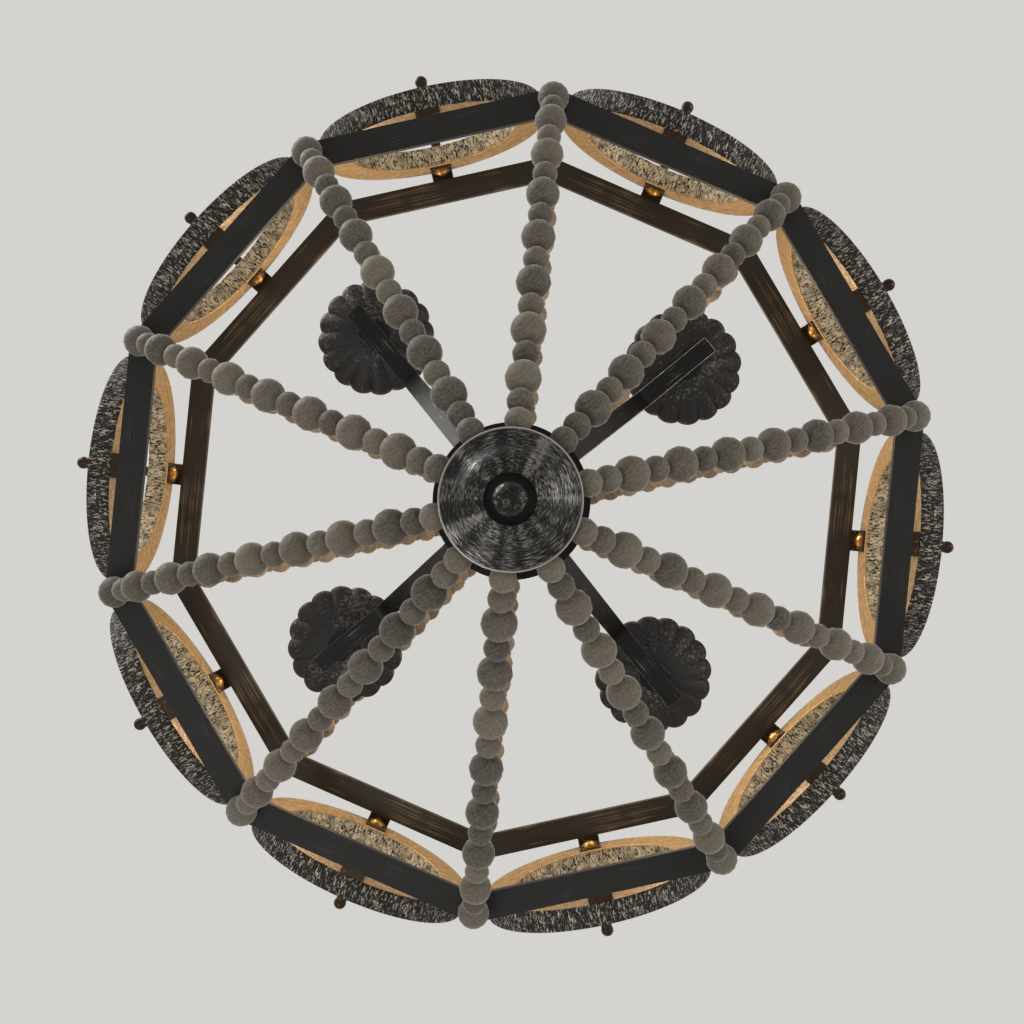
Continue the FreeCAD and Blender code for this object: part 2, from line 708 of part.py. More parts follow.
def bent_strap(points, bend_radius, thickness, width):
    """A flat strap whose underside follows the points, with every bend rounded."""
    def offset(distance):
        """The polyline moved sideways by the distance, mitred at its bends."""
        moved = []
        for number, point in enumerate(points):
            before = (point - points[number - 1]).normalize() if number else None
            after = (points[number + 1] - point).normalize() if number + 1 < len(points) else None
            normals = [flat(-way.z, way.x) for way in (before, after) if way]
            middle = sum(normals[1:], normals[0]).normalize()
            moved.append(point + middle * (distance / middle.dot(normals[0])))
        return moved

    def rounded(corners, radii):
        """Straight runs joined by tangent arcs."""
        edges = []
        here = corners[0]
        for number, radius in enumerate(radii, start=1):
            corner = corners[number]
            back = (corners[number - 1] - corner).normalize()
            on = (corners[number + 1] - corner).normalize()
            half = back.getAngle(on) / 2
            reach = radius / math.tan(half)
            centre = corner + (back + on).normalize() * (radius / math.sin(half))
            first, last = corner + back * reach, corner + on * reach
            middle = centre + (corner - centre).normalize() * radius
            edges.append(line(here, first))
            edges.append(arc(first, middle, last))
            here = last
        edges.append(line(here, corners[-1]))
        return edges

    lower, upper = offset(0), offset(thickness)
    # the first bend turns up and the second turns back, so the strap's two faces swap radii
    lower_edges = rounded(lower, [bend_radius + thickness, bend_radius])
    upper_edges = rounded(upper, [bend_radius, bend_radius + thickness])
    ends = [line(lower[-1], upper[-1]), line(upper[0], lower[0])]
    face = Part.Face(Part.Wire(Part.__sortEdges__(lower_edges + upper_edges + ends)))
    strap = face.extrude(Vector(0, width, 0))
    strap.translate(Vector(0, -width / 2, 0))
    return strap


def make_arms():
    shank = size("screw_radius")
    points = [
        flat(size("arm_start"), HUB_TOP_Z),
        flat(size("arm_foot_end"), HUB_TOP_Z),
        flat(size("arm_knee"), FRAME_Z + size("arm_above_frame")),
        flat(size("arm_end"), FRAME_Z + size("arm_above_frame")),
    ]
    strap = bent_strap(points, size("arm_bend_radius"), size("arm_thickness"), size("arm_width"))
    hole = Part.makeCylinder(shank + size("screw_clearance"), 2 * size("arm_thickness"),
                             flat(size("arm_screw_at"), HUB_Z + size("plate_thickness") / 2))
    strap = strap.cut(hole)
    for number, angle in enumerate(ARM_ANGLES, start=1):
        made_in_code(f"arm_{number}", strap, Placement(ORIGIN, Rotation(UP, angle)))

    head, rise = size("arm_screw_head_radius"), size("arm_screw_head_height")
    seat = HUB_TOP_Z + size("arm_thickness")
    edges = [
        line(flat(0, HUB_Z), flat(shank, HUB_Z)),
        line(flat(shank, HUB_Z), flat(shank, seat)),
        line(flat(shank, seat), flat(head, seat)),
        dome(head, seat, rise),
        line(flat(0, seat + rise), flat(0, HUB_Z)),
    ]
    screw = lathe(edges)
    screw.translate(flat(size("arm_screw_at"), 0))
    turned_copies("arm_screws", screw, ARM_ANGLES)


def scalloped_wire(radius, bulge, height):
    """A ring of arcs that meet in creases; the arcs' crowns reach the radius."""
    lobes = int(size("pan_lobes"))
    step = 2 * math.pi / lobes
    crease = radius - bulge
    arcs = []
    for lobe in range(lobes):
        first, middle, last = lobe * step, (lobe + 0.5) * step, (lobe + 1) * step
        arcs.append(arc(Vector(crease * math.cos(first), crease * math.sin(first), height),
                        Vector(radius * math.cos(middle), radius * math.sin(middle), height),
                        Vector(crease * math.cos(last), crease * math.sin(last), height)))
    return Part.Wire(arcs)


def pan_shape():
    """A scalloped pan: its lobes deepen from a round floor to the rim."""
    radius, depth, bulge = size("pan_radius"), size("pan_depth"), size("pan_lobe_bulge")
    floor = size("disc_radius")
    levels = 6
    wires = []
    for level in range(levels):
        share = level / (levels - 1)
        # the side is a quarter wave: flat at the floor, steep at the rim
        wires.append(scalloped_wire(floor + (radius - floor) * math.sin(share * math.pi / 2),
                                    bulge * share, depth * (1 - math.cos(share * math.pi / 2))))
    outer = Part.makeLoft(wires, True, True)
    inner = outer.copy()
    inner.translate(flat(0, size("pan_wall")))
    hole = Part.makeCylinder(size("socket_stub_radius") + size("screw_clearance"), depth)
    return outer.cut([inner, hole])


def bulb_shape():
    """A candle bulb: screw base below, flame-shaped glass above; height 0 is the glass's foot."""
    base, length = size("bulb_base_radius"), size("bulb_base_length")
    radius, rise = size("bulb_radius"), size("bulb_glass_height")
    side = Part.BSplineCurve()
    side.interpolate([flat(base, 0), flat(radius * 0.9, rise * 0.17), flat(radius, rise * 0.34),
                      flat(radius * 0.72, rise * 0.66), flat(radius * 0.22, rise * 0.92), flat(0, rise)])
    edges = [line(flat(0, -length), flat(base, -length)), line(flat(base, -length), flat(base, 0)),
             side.toShape(), line(flat(0, rise), flat(0, -length))]
    return lathe(edges)


def make_lights():
    places = [turned_place(angle, size("pan_at"), 0) for angle in ARM_ANGLES]

    def at_each_arm(label, shape):
        copies = []
        for place in places:
            copy = shape.copy()
            copy.Placement = place.multiply(copy.Placement)
            copies.append(copy)
        return made_in_code(label, Part.makeCompound(copies))

    stub = size("socket_stub_radius")
    disc = Part.makeCylinder(size("disc_radius"), size("disc_height"), flat(0, ARM_TOP_Z))
    disc_hole = Part.makeCylinder(stub + size("turning_clearance"), size("disc_height"), flat(0, ARM_TOP_Z))
    at_each_arm("pan_discs", disc.cut(disc_hole))

    height, radius = size("socket_height"), size("socket_radius")
    stub_length = size("disc_height") + size("pan_wall")
    socket = Part.makeCylinder(radius, height, flat(0, PAN_FLOOR_Z))
    socket = socket.fuse(Part.makeCylinder(stub, stub_length, flat(0, ARM_TOP_Z)))
    depth = size("socket_bore_depth")
    socket = socket.cut(Part.makeCylinder(size("bulb_base_radius") + size("turning_clearance"), depth,
                                          flat(0, SOCKET_TOP_Z - depth)))
    at_each_arm("sockets", socket)

    inner = radius + size("sleeve_clearance")
    sleeve = Part.makeCylinder(inner + size("sleeve_wall"), height, flat(0, PAN_FLOOR_Z))
    at_each_arm("candle_sleeves", sleeve.cut(Part.makeCylinder(inner, height, flat(0, PAN_FLOOR_Z))))

    pan, bulb = pan_shape(), bulb_shape()
    for number, angle in enumerate(ARM_ANGLES, start=1):
        made_in_code(f"pan_{number}", pan, turned_place(angle, size("pan_at"), PAN_Z))
        made_in_code(f"bulb_{number}", bulb,
                     turned_place(angle, size("pan_at"), SOCKET_TOP_Z + size("bulb_lift")))


# ---------------------------------------------------------------- bottom bowl and finial

def bowl_outline(radius, rim_height, depth, recess):
    """Half outline of the ogee bowl, mouth up at height 0: an upright rim, a cove, then a full belly."""
    rim_foot = flat(radius, -rim_height)
    cove_end = rim_foot + flat(-0.45 * (radius - recess), 0.4 * (rim_height - depth))
    belly_end = flat(recess, -depth)
    cove_middle = (rim_foot + cove_end) * 0.5 + flat(-1, 1).normalize() * (0.07 * depth)
    belly_middle = (cove_end + belly_end) * 0.5 + flat(1, -1).normalize() * (0.16 * depth)
    return [
        line(flat(0, 0), flat(radius, 0)),
        line(flat(radius, 0), rim_foot),
        arc(rim_foot, cove_middle, cove_end),
        arc(cove_end, belly_middle, belly_end),
        line(belly_end, flat(0, -depth)),
        line(flat(0, -depth), flat(0, 0)),
    ]


def make_bowl():
    radius, depth, wall = size("bowl_radius"), size("bowl_depth"), size("bowl_wall")
    recess, recess_depth = size("bowl_recess_radius"), size("bowl_recess_depth")
    outside = lathe(bowl_outline(radius, size("bowl_rim_height"), depth, recess + wall))
    hollow = lathe(bowl_outline(radius - wall, size("bowl_rim_height"), depth - wall, recess + wall))
    # the recess round the finial's neck is a short cup let into the belly
    cup = Part.makeCylinder(recess + wall, recess_depth + wall, flat(0, -depth))
    cup = cup.cut(Part.makeCylinder(recess, recess_depth, flat(0, -depth)))
    shell = outside.cut(hollow)
    shell = shell.cut(Part.makeCylinder(recess, recess_depth, flat(0, -depth)))
    bowl = shell.fuse(cup.common(outside)).removeSplitter()
    hole = Part.makeCylinder(size("stem_radius") + size("stem_clearance"), depth, flat(0, -depth))
    return made_in_code("bottom_bowl", bowl.cut(hole), Placement(flat(0, STRAND_PLATE_TOP_Z), Rotation()))


def make_finial():
    """A ball on a neck that turns on the stem's threaded foot, under the bowl."""
    ball, neck = size("finial_ball_radius"), size("finial_neck_radius")
    seat = STRAND_PLATE_TOP_Z - size("bowl_depth") + size("bowl_recess_depth") - size("finial_gap")
    joint = FINIAL_Z + math.sqrt(ball ** 2 - neck ** 2)
    edges = [
        line(flat(0, seat), flat(neck, seat)),
        line(flat(neck, seat), flat(neck, joint)),
        arc(flat(neck, joint), flat(ball, FINIAL_Z), flat(0, FINIAL_Z - ball)),
        line(flat(0, FINIAL_Z - ball), flat(0, seat)),
    ]
    bore = Part.makeCylinder(size("stem_radius") + size("turning_clearance"), seat - FINIAL_Z, flat(0, FINIAL_Z))
    return made_in_code("finial", lathe(edges).cut(bore))


# Wire holes: the frames' follow the strands' slopes, the plates' lie where the wires arrive.
def slope_run(rise, slope):
    return rise / math.tan(math.radians(size(slope)))


CORNER_TEXT = "{frame_across_flats} / 2 / cos(180 deg / {sides})"
CORNER_RADIUS = size("frame_across_flats") / 2 / math.cos(math.pi / size("sides"))
LOWER_STRAND = CORNER_RADIUS - size("lower_bead_inset")
UPPER_STRAND = CORNER_RADIUS - size("upper_bead_inset")
LOWER_HOLE = LOWER_STRAND + slope_run(size("large_bead_radius"), "lower_start_slope")
UPPER_HOLE = UPPER_STRAND + slope_run(size("small_bead_radius"), "upper_start_slope")
CROWN_HOLE = size("upper_end_radius") - slope_run(size("small_bead_radius"), "upper_end_slope")
STRAND_HOLE = size("strand_end_radius") - slope_run(size("small_bead_radius"), "lower_end_slope")

make_crossbar()
make_canopy()
make_canopy_loop()
make_collar_ring()
for link in range(1, int(size("link_count")) + 1):
    make_link(link)
make_top_loop()
make_frame("upper_frame", UPPER_FRAME_Z,
           f"({CORNER_TEXT} - {{upper_bead_inset}} + {{small_bead_radius}} / tan({{upper_start_slope}} * 1 deg))")
make_frame("lower_frame", FRAME_Z,
           f"({CORNER_TEXT} - {{lower_bead_inset}} + {{large_bead_radius}} / tan({{lower_start_slope}} * 1 deg))")
for number, angle in enumerate(SIDE_ANGLES, start=1):
    make_ring(number, angle)
make_brackets()
make_ring_fixings()
bead_shapes = {size(alias): make_bead(alias.replace("_radius", ""), alias)
               for alias in ("large_bead_radius", "small_bead_radius")}
make_lower_strands(bead_shapes)
make_upper_strands(bead_shapes)
make_plates()
make_stem()
make_stem_nuts()
make_arms()
make_lights()
make_bowl()
make_finial()

doc.recompute()
for thing in doc.Objects:
    if "Invalid" in thing.State or "Error" in thing.State:
        raise ValueError(f"{thing.Name} did not compute: {thing.State}")
for label, thing in pieces.items():
    if thing.Shape.isNull() or not thing.Shape.isValid() or not thing.Shape.Solids:
        raise ValueError(f"{label} has no sound solid")

os.makedirs("parts", exist_ok=True)
for label, thing in pieces.items():
    thing.Shape.exportStep(f"parts/{label}.step")
    box = thing.Shape.BoundBox
    print(f"{label:24s} solids {len(thing.Shape.Solids):4d}  volume {thing.Shape.Volume:12.1f}  "
          f"z {box.ZMin:9.2f} {box.ZMax:9.2f}  x {box.XMin:8.2f} {box.XMax:8.2f}")
print(len(pieces), "sub-parts")
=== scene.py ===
import math
import random

import bmesh
import bpy
import numpy as np
from mathutils import Euler, Matrix, Vector


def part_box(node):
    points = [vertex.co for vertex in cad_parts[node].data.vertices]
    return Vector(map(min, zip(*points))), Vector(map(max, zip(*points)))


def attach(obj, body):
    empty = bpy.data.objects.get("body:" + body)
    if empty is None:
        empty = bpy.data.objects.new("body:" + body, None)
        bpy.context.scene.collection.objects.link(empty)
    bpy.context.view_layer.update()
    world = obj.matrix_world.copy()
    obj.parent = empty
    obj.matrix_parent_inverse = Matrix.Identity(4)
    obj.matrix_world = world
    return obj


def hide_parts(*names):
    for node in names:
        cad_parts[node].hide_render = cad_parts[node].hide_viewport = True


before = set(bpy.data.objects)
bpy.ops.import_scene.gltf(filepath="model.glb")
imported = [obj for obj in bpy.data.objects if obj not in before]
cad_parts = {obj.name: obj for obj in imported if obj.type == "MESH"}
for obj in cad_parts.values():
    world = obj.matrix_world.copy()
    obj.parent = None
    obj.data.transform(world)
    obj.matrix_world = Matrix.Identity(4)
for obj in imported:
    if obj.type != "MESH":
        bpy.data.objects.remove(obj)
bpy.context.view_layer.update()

# The ten-sided bead and ring chandelier, dressed over its CAD frame. Metres; Z is up and the
# ceiling is at zero. Sides lie at 0, 36, 72 ... degrees, corners half-way, arms at 45, 135 ...

MM = 0.001

SIDES = 10
ARMS = 4
SIDE_STEP = 2 * math.pi / SIDES
ARM_STEP = 2 * math.pi / ARMS
FIRST_ARM = math.radians(45)

frame_low, frame_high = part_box("lower_frame")
ring_low, ring_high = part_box("ring_01")
crown_low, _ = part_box("crown")
bulb_low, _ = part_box("bulb_1")
_, upper_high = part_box("upper_frame")
_, plate_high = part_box("strand_plate")
_, bowl_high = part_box("bottom_bowl")

DISH_RIM = bowl_high.x
DISH_RIM_WIDTH = 1.4 * MM
DISH_RECESS = 15.9 * MM

RING_NODES = [f"ring_{number:02d}" for number in range(1, SIDES + 1)]
STRAND_NODES = [f"lower_strand_{number:02d}" for number in range(1, SIDES + 1)]
ARM_NODES = [f"arm_{number}" for number in range(1, ARMS + 1)]
PAN_NODES = [f"pan_{number}" for number in range(1, ARMS + 1)]
BULB_NODES = [f"bulb_{number}" for number in range(1, ARMS + 1)]

LARGE_BEAD = 12 * MM
SMALL_BEAD = 9 * MM
BEAD_FLAT = math.radians(15)
BEAD_GAP = 0.15 * MM
BEAD_SEGMENTS = 14
BEAD_BANDS = 6
BEAD_SEED = 11

# A strand runs from inside a frame corner to the plate above the dish, or to the crown. Slopes are
# degrees from the level, and a pull is how far the line keeps to its slope.
LOWER_INSET, UPPER_INSET = 11.4 * MM, 20.7 * MM
PLATE_REACH, CROWN_REACH = 48.7 * MM, 61 * MM
LOWER_HANG = {"start_slope": 58, "start_pull": 78 * MM, "end_slope": 46, "end_pull": 80 * MM}
UPPER_HANG = {"start_slope": 76.5, "start_pull": 95 * MM, "end_slope": 56, "end_pull": 90 * MM}

RING_BORE = 70 * MM
RING_EASE = 1.4 * MM
RING_ARC_STEPS = 3
RING_SEGMENTS = 144
GOLD_ZONE, RIM_ZONE, BORE_ZONE, BACK_ZONE = range(4)

PAN_LOBES, PAN_LOBE_STEPS, PAN_ROWS = 16, 10, 14
PAN_HUB = 12 * MM
PAN_NOTCH = 2.8 * MM
PAN_SHEET = 1.4 * MM
PAN_LOBE_POWER = 0.75
PAN_SWELL = 0.14
PAN_FOOT = 0.12
PAN_CURVE = 1.7

BAR_EASE, BRACKET_EASE, STRAP_EASE = 0.7 * MM, 0.4 * MM, 1.3 * MM
EASED_SEGMENTS = 2
MERGE_DISTANCE = 0.001 * MM
FLAT_ANGLE = math.radians(0.6)
CREASE_ANGLE = math.radians(30)
EASED_ANGLE = math.radians(40)
RING_CREASE = math.radians(50)
PAN_CREASE = math.radians(28)

BULB_BASE = 23 * MM
METAL_PATCHES = 30.0
ALONG_BAR = (14.0, 620.0, 620.0)


# ---------------------------------------------------------------- node helpers

def linear(red, green, blue):
    """A colour given as it looks on screen, 0 to 255, as Blender's linear RGBA."""
    parts = [value / 255 for value in (red, green, blue)]
    light = [p / 12.92 if p <= 0.04045 else ((p + 0.055) / 1.055) ** 2.4 for p in parts]
    return (*light, 1.0)


def put(tree, kind, settings=None, **inputs):
    """Adds a node. An input goes by its label, or by _ and its number, and takes a value or a
    socket."""
    node = tree.nodes.new(kind)
    for name, value in (settings or {}).items():
        setattr(node, name, value)
    for name, value in inputs.items():
        socket = node.inputs[int(name[1:]) if name[0] == "_" else name.replace("_", " ")]
        if isinstance(value, bpy.types.NodeSocket):
            tree.links.new(value, socket)
        else:
            socket.default_value = value
    return node


def number(tree, operation, first, second=0.0):
    return put(tree, "ShaderNodeMath", {"operation": operation}, _0=first, _1=second).outputs[0]


def spread(tree, value, low, high, to_low=0.0, to_high=1.0):
    """Maps a value from one range to another, held at both ends."""
    return put(tree, "ShaderNodeMapRange", None, Value=value, From_Min=low, From_Max=high,
               To_Min=to_low, To_Max=to_high).outputs[0]


def mixed(tree, factor, first, second):
    return put(tree, "ShaderNodeMix", {"data_type": "RGBA"}, _0=factor, _6=first,
               _7=second).outputs[2]


def scaled(tree, vector, scale):
    return put(tree, "ShaderNodeVectorMath", {"operation": "MULTIPLY"}, _0=vector,
               _1=scale).outputs[0]


def noise(tree, vector, scale=1.0, detail=4.0, roughness=0.6, distortion=0.0):
    return put(tree, "ShaderNodeTexNoise", None, Vector=vector, Scale=scale, Detail=detail,
               Roughness=roughness, Distortion=distortion).outputs[0]


def bumped(tree, height, distance):
    return put(tree, "ShaderNodeBump", None, Strength=1.0, Distance=distance,
               Height=height).outputs[0]


def open_group(name, inputs, outputs):
    """A new shader group: its tree, the sockets that it is given and those that it puts out."""
    tree = bpy.data.node_groups.new(name, "ShaderNodeTree")
    for label, kind, value in inputs:
        socket = tree.interface.new_socket(label, in_out="INPUT", socket_type=kind)
        if value is not None:
            socket.default_value = value
    for label, kind in outputs:
        tree.interface.new_socket(label, in_out="OUTPUT", socket_type=kind)
    return tree, tree.nodes.new("NodeGroupInput").outputs, tree.nodes.new("NodeGroupOutput").inputs


def placed(tree, group, **inputs):
    return put(tree, "ShaderNodeGroup", {"node_tree": group}, **inputs).outputs


# ---------------------------------------------------------------- shared effects

VALUE, VECTOR = "NodeSocketFloat", "NodeSocketVector"


def make_brush_strokes():
    """Fine strokes that run one way, gathered in patches, as dry brushing or filing leaves them."""
    bare_level, coverage_pull, softness, patch_pull = 0.78, 0.45, 0.16, 0.5
    tree, given, out = open_group("brush_strokes", [
        ("Vector", VECTOR, None), ("Stretch", VECTOR, (1.0, 1.0, 1.0)),
        ("Coverage", VALUE, 0.4), ("Patch Scale", VALUE, METAL_PATCHES),
    ], [("Strokes", VALUE), ("Height", VALUE)])
    lay = scaled(tree, given["Vector"], given["Stretch"])
    fine = noise(tree, lay, 1.0, 5.0, 0.65)
    patch = noise(tree, given["Vector"], given["Patch Scale"], 2.0, 0.5)
    gathered = number(tree, "MULTIPLY", number(tree, "SUBTRACT", patch, 0.5), patch_pull)
    level = number(tree, "ADD", fine, gathered)
    covered = number(tree, "MULTIPLY", given["Coverage"], coverage_pull)
    low = number(tree, "SUBTRACT", bare_level, covered)
    strokes = spread(tree, level, low, number(tree, "ADD", low, softness))
    tree.links.new(strokes, out["Strokes"])
    tree.links.new(fine, out["Height"])
    return tree


def make_carved_ridges():
    """Short winding ridges with dark hollows between, as on wire-brushed and limed wood."""
    bare_level, fill_pull, softness, grit_share = 0.64, 0.26, 0.07, 0.18
    tree, given, out = open_group("carved_ridges", [
        ("Vector", VECTOR, None), ("Stretch", VECTOR, (1.0, 1.0, 1.0)), ("Fill", VALUE, 0.5),
    ], [("Ridges", VALUE)])
    lay = scaled(tree, given["Vector"], given["Stretch"])
    winding = noise(tree, lay, 1.0, 3.0, 0.6, 1.1)
    grit = noise(tree, given["Vector"], 900.0, 2.0, 0.5)
    level = number(tree, "ADD", number(tree, "MULTIPLY", winding, 1 - grit_share),
                   number(tree, "MULTIPLY", grit, grit_share))
    filled = number(tree, "MULTIPLY", given["Fill"], fill_pull)
    low = number(tree, "SUBTRACT", bare_level, filled)
    ridges = spread(tree, level, low, number(tree, "ADD", low, softness))
    tree.links.new(ridges, out["Ridges"])
    return tree


def make_wood_grain():
    """Turned wood: soft growth bands crossed by fine pores."""
    band_share, band_relief = 0.14, 0.12
    tree, given, out = open_group("wood_grain", [
        ("Vector", VECTOR, None), ("Band Scale", VALUE, 90.0), ("Pore Scale", VALUE, 700.0),
    ], [("Shade", VALUE), ("Height", VALUE)])
    bands = put(tree, "ShaderNodeTexWave", {"wave_type": "BANDS", "bands_direction": "DIAGONAL"},
                Vector=given["Vector"], Scale=given["Band Scale"], Distortion=4.0, Detail=3.0,
                Detail_Scale=1.6).outputs[1]
    flattened = scaled(tree, given["Vector"], (1.0, 1.0, 0.3))
    pores = noise(tree, flattened, given["Pore Scale"], 3.0, 0.6)
    shade = number(tree, "ADD", number(tree, "MULTIPLY", bands, band_share),
                   number(tree, "MULTIPLY", pores, 1 - band_share))
    raised = number(tree, "ADD", number(tree, "MULTIPLY", bands, band_relief), pores)
    tree.links.new(shade, out["Shade"])
    tree.links.new(raised, out["Height"])
    return tree


def make_side_lay():
    """Distance along the bar or arm that a point belongs to, and outward from the fixture's axis.

    The height is added to the outward distance, so that upright faces have a pattern too.
    """
    tree, given, out = open_group("side_lay", [
        ("Vector", VECTOR, None), ("Step", VALUE, SIDE_STEP), ("First", VALUE, 0.0),
    ], [("Along", VALUE), ("Outward", VALUE)])
    x, y, z = put(tree, "ShaderNodeSeparateXYZ", None, Vector=given["Vector"]).outputs
    bearing = number(tree, "SUBTRACT", number(tree, "ARCTAN2", y, x), given["First"])
    whole = number(tree, "ROUND", number(tree, "DIVIDE", bearing, given["Step"]))
    turn = number(tree, "ADD", number(tree, "MULTIPLY", whole, given["Step"]), given["First"])
    cosine, sine = number(tree, "COSINE", turn), number(tree, "SINE", turn)
    along = number(tree, "SUBTRACT", number(tree, "MULTIPLY", y, cosine),
                   number(tree, "MULTIPLY", x, sine))
    outward = number(tree, "ADD", number(tree, "MULTIPLY", x, cosine),
                     number(tree, "MULTIPLY", y, sine))
    tree.links.new(along, out["Along"])
    tree.links.new(number(tree, "ADD", outward, z), out["Outward"])
    return tree


side_lay = make_side_lay()
brush_strokes = make_brush_strokes()
carved_ridges = make_carved_ridges()
wood_grain = make_wood_grain()


# ---------------------------------------------------------------- finishes

def new_finish(name):
    material = bpy.data.materials.new(name)
    material.use_nodes = True
    tree = material.node_tree
    tree.nodes.clear()
    output = tree.nodes.new("ShaderNodeOutputMaterial")
    shader = tree.nodes.new("ShaderNodeBsdfPrincipled")
    tree.links.new(shader.outputs[0], output.inputs[0])
    return material, tree, shader


def object_lay(tree):
    return put(tree, "ShaderNodeTexCoord").outputs["Object"]


def ring_lay(tree):
    """A ring's own UV map, in metres, with U round the ring."""
    return put(tree, "ShaderNodeUVMap", {"uv_map": "lay"}).outputs[0]


def bar_lay(tree):
    """X along each side's bar, Y across it."""
    made = placed(tree, side_lay, Vector=object_lay(tree), Step=SIDE_STEP, First=0.0)
    return put(tree, "ShaderNodeCombineXYZ", None, X=made["Along"], Y=made["Outward"]).outputs[0]


def arm_lay(tree):
    """X outward along each arm's strap, Y across it."""
    made = placed(tree, side_lay, Vector=object_lay(tree), Step=ARM_STEP, First=FIRST_ARM)
    return put(tree, "ShaderNodeCombineXYZ", None, X=made["Outward"], Y=made["Along"]).outputs[0]


def round_lay(tree):
    """Direction from the fixture's axis and distance from it, for strokes that run round a dish."""
    parts = put(tree, "ShaderNodeSeparateXYZ", None, Vector=object_lay(tree)).outputs
    flat = put(tree, "ShaderNodeCombineXYZ", None, X=parts[0], Y=parts[1]).outputs[0]
    reach = put(tree, "ShaderNodeVectorMath", {"operation": "LENGTH"}, _0=flat).outputs[1]
    bearing = put(tree, "ShaderNodeVectorMath", {"operation": "NORMALIZE"}, _0=flat).outputs[0]
    sides = put(tree, "ShaderNodeSeparateXYZ", None, Vector=bearing).outputs
    return put(tree, "ShaderNodeCombineXYZ", None, X=sides[0], Y=sides[1], Z=reach).outputs[0]


def brushed_metal(name, dark, light, lay, stretch, coverage, metallic=0.6,
                  roughness=(0.5, 0.35), relief=0.15 * MM):
    """Painted or blackened iron with lighter brush strokes rubbed over it."""
    material, tree, shader = new_finish(name)
    made = placed(tree, brush_strokes, Vector=lay(tree), Stretch=stretch, Coverage=coverage,
                  Patch_Scale=METAL_PATCHES)
    strokes = made["Strokes"]
    colour = mixed(tree, strokes, linear(*dark), linear(*light))
    tree.links.new(colour, shader.inputs["Base Color"])
    tree.links.new(spread(tree, strokes, 0.0, 1.0, *roughness), shader.inputs["Roughness"])
    tree.links.new(bumped(tree, made["Height"], relief), shader.inputs["Normal"])
    shader.inputs["Metallic"].default_value = metallic
    return material


def brushed_dish(name, dark, light):
    """Spun iron: strokes run round it, the middle recess has none and stays dark, and a thin band at the
    rim is mixed toward the light colour.
    """
    stroke_share, rim_share, border, relief = 0.62, 0.9, 0.4 * MM, 0.25 * MM
    material, tree, shader = new_finish(name)
    lay = round_lay(tree)
    reach = put(tree, "ShaderNodeSeparateXYZ", None, Vector=lay).outputs[2]
    made = placed(tree, brush_strokes, Vector=lay, Stretch=(7.0, 7.0, 2100.0), Coverage=0.6,
                  Patch_Scale=3.0)
    outside = spread(tree, reach, DISH_RECESS - border, DISH_RECESS + border, 0.0, stroke_share)
    strokes = number(tree, "MULTIPLY", made["Strokes"], outside)
    # a thin band just inside the rim is mixed almost to the light colour
    rim = spread(tree, reach, DISH_RIM - DISH_RIM_WIDTH, DISH_RIM - border, 0.0, rim_share)
    shine = number(tree, "MAXIMUM", strokes, rim)
    colour = mixed(tree, shine, linear(*dark), linear(*light))
    tree.links.new(colour, shader.inputs["Base Color"])
    tree.links.new(spread(tree, shine, 0.0, 1.0, 0.42, 0.25), shader.inputs["Roughness"])
    tree.links.new(bumped(tree, made["Height"], relief), shader.inputs["Normal"])
    shader.inputs["Metallic"].default_value = 0.7
    return material


def carved_wood(name, hollow, ridge, stretch, fill):
    """Wood cut in ridges, dark in the hollows and rubbed pale on top."""
    faded, hollow_roughness, ridge_roughness, relief = 0.72, 0.8, 0.6, 0.7 * MM
    material, tree, shader = new_finish(name)
    lay = ring_lay(tree)
    ridges = placed(tree, carved_ridges, Vector=lay, Stretch=stretch, Fill=fill)["Ridges"]
    tone = spread(tree, noise(tree, lay, 60.0, 3.0, 0.6), 0.35, 0.65)
    pale = mixed(tree, tone, linear(*ridge), linear(*[faded * part for part in ridge]))
    gloss = spread(tree, ridges, 0.0, 1.0, hollow_roughness, ridge_roughness)
    tree.links.new(mixed(tree, ridges, linear(*hollow), pale), shader.inputs["Base Color"])
    tree.links.new(gloss, shader.inputs["Roughness"])
    tree.links.new(bumped(tree, ridges, relief), shader.inputs["Normal"])
    return material


def gilded_wood(name, gold, shadow):
    """A smooth wooden face under old gold paint, finely scratched and mottled."""
    scratch_share, scratch_shade, relief = 0.35, 0.6, 0.25 * MM
    material, tree, shader = new_finish(name)
    lay = ring_lay(tree)
    mottle = noise(tree, lay, 180.0, 5.0, 0.7)
    strokes = placed(tree, brush_strokes, Vector=lay, Stretch=(120.0, 900.0, 1.0), Coverage=0.35,
                     Patch_Scale=40.0)["Strokes"]
    base = mixed(tree, spread(tree, mottle, 0.38, 0.62), linear(*shadow), linear(*gold))
    scratches = number(tree, "MULTIPLY", strokes, scratch_share)
    worn = mixed(tree, scratches, base, linear(*[scratch_shade * part for part in shadow]))
    tree.links.new(worn, shader.inputs["Base Color"])
    tree.links.new(spread(tree, mottle, 0.3, 0.7, 0.55, 0.38), shader.inputs["Roughness"])
    tree.links.new(bumped(tree, mottle, relief), shader.inputs["Normal"])
    shader.inputs["Metallic"].default_value = 0.25
    return material


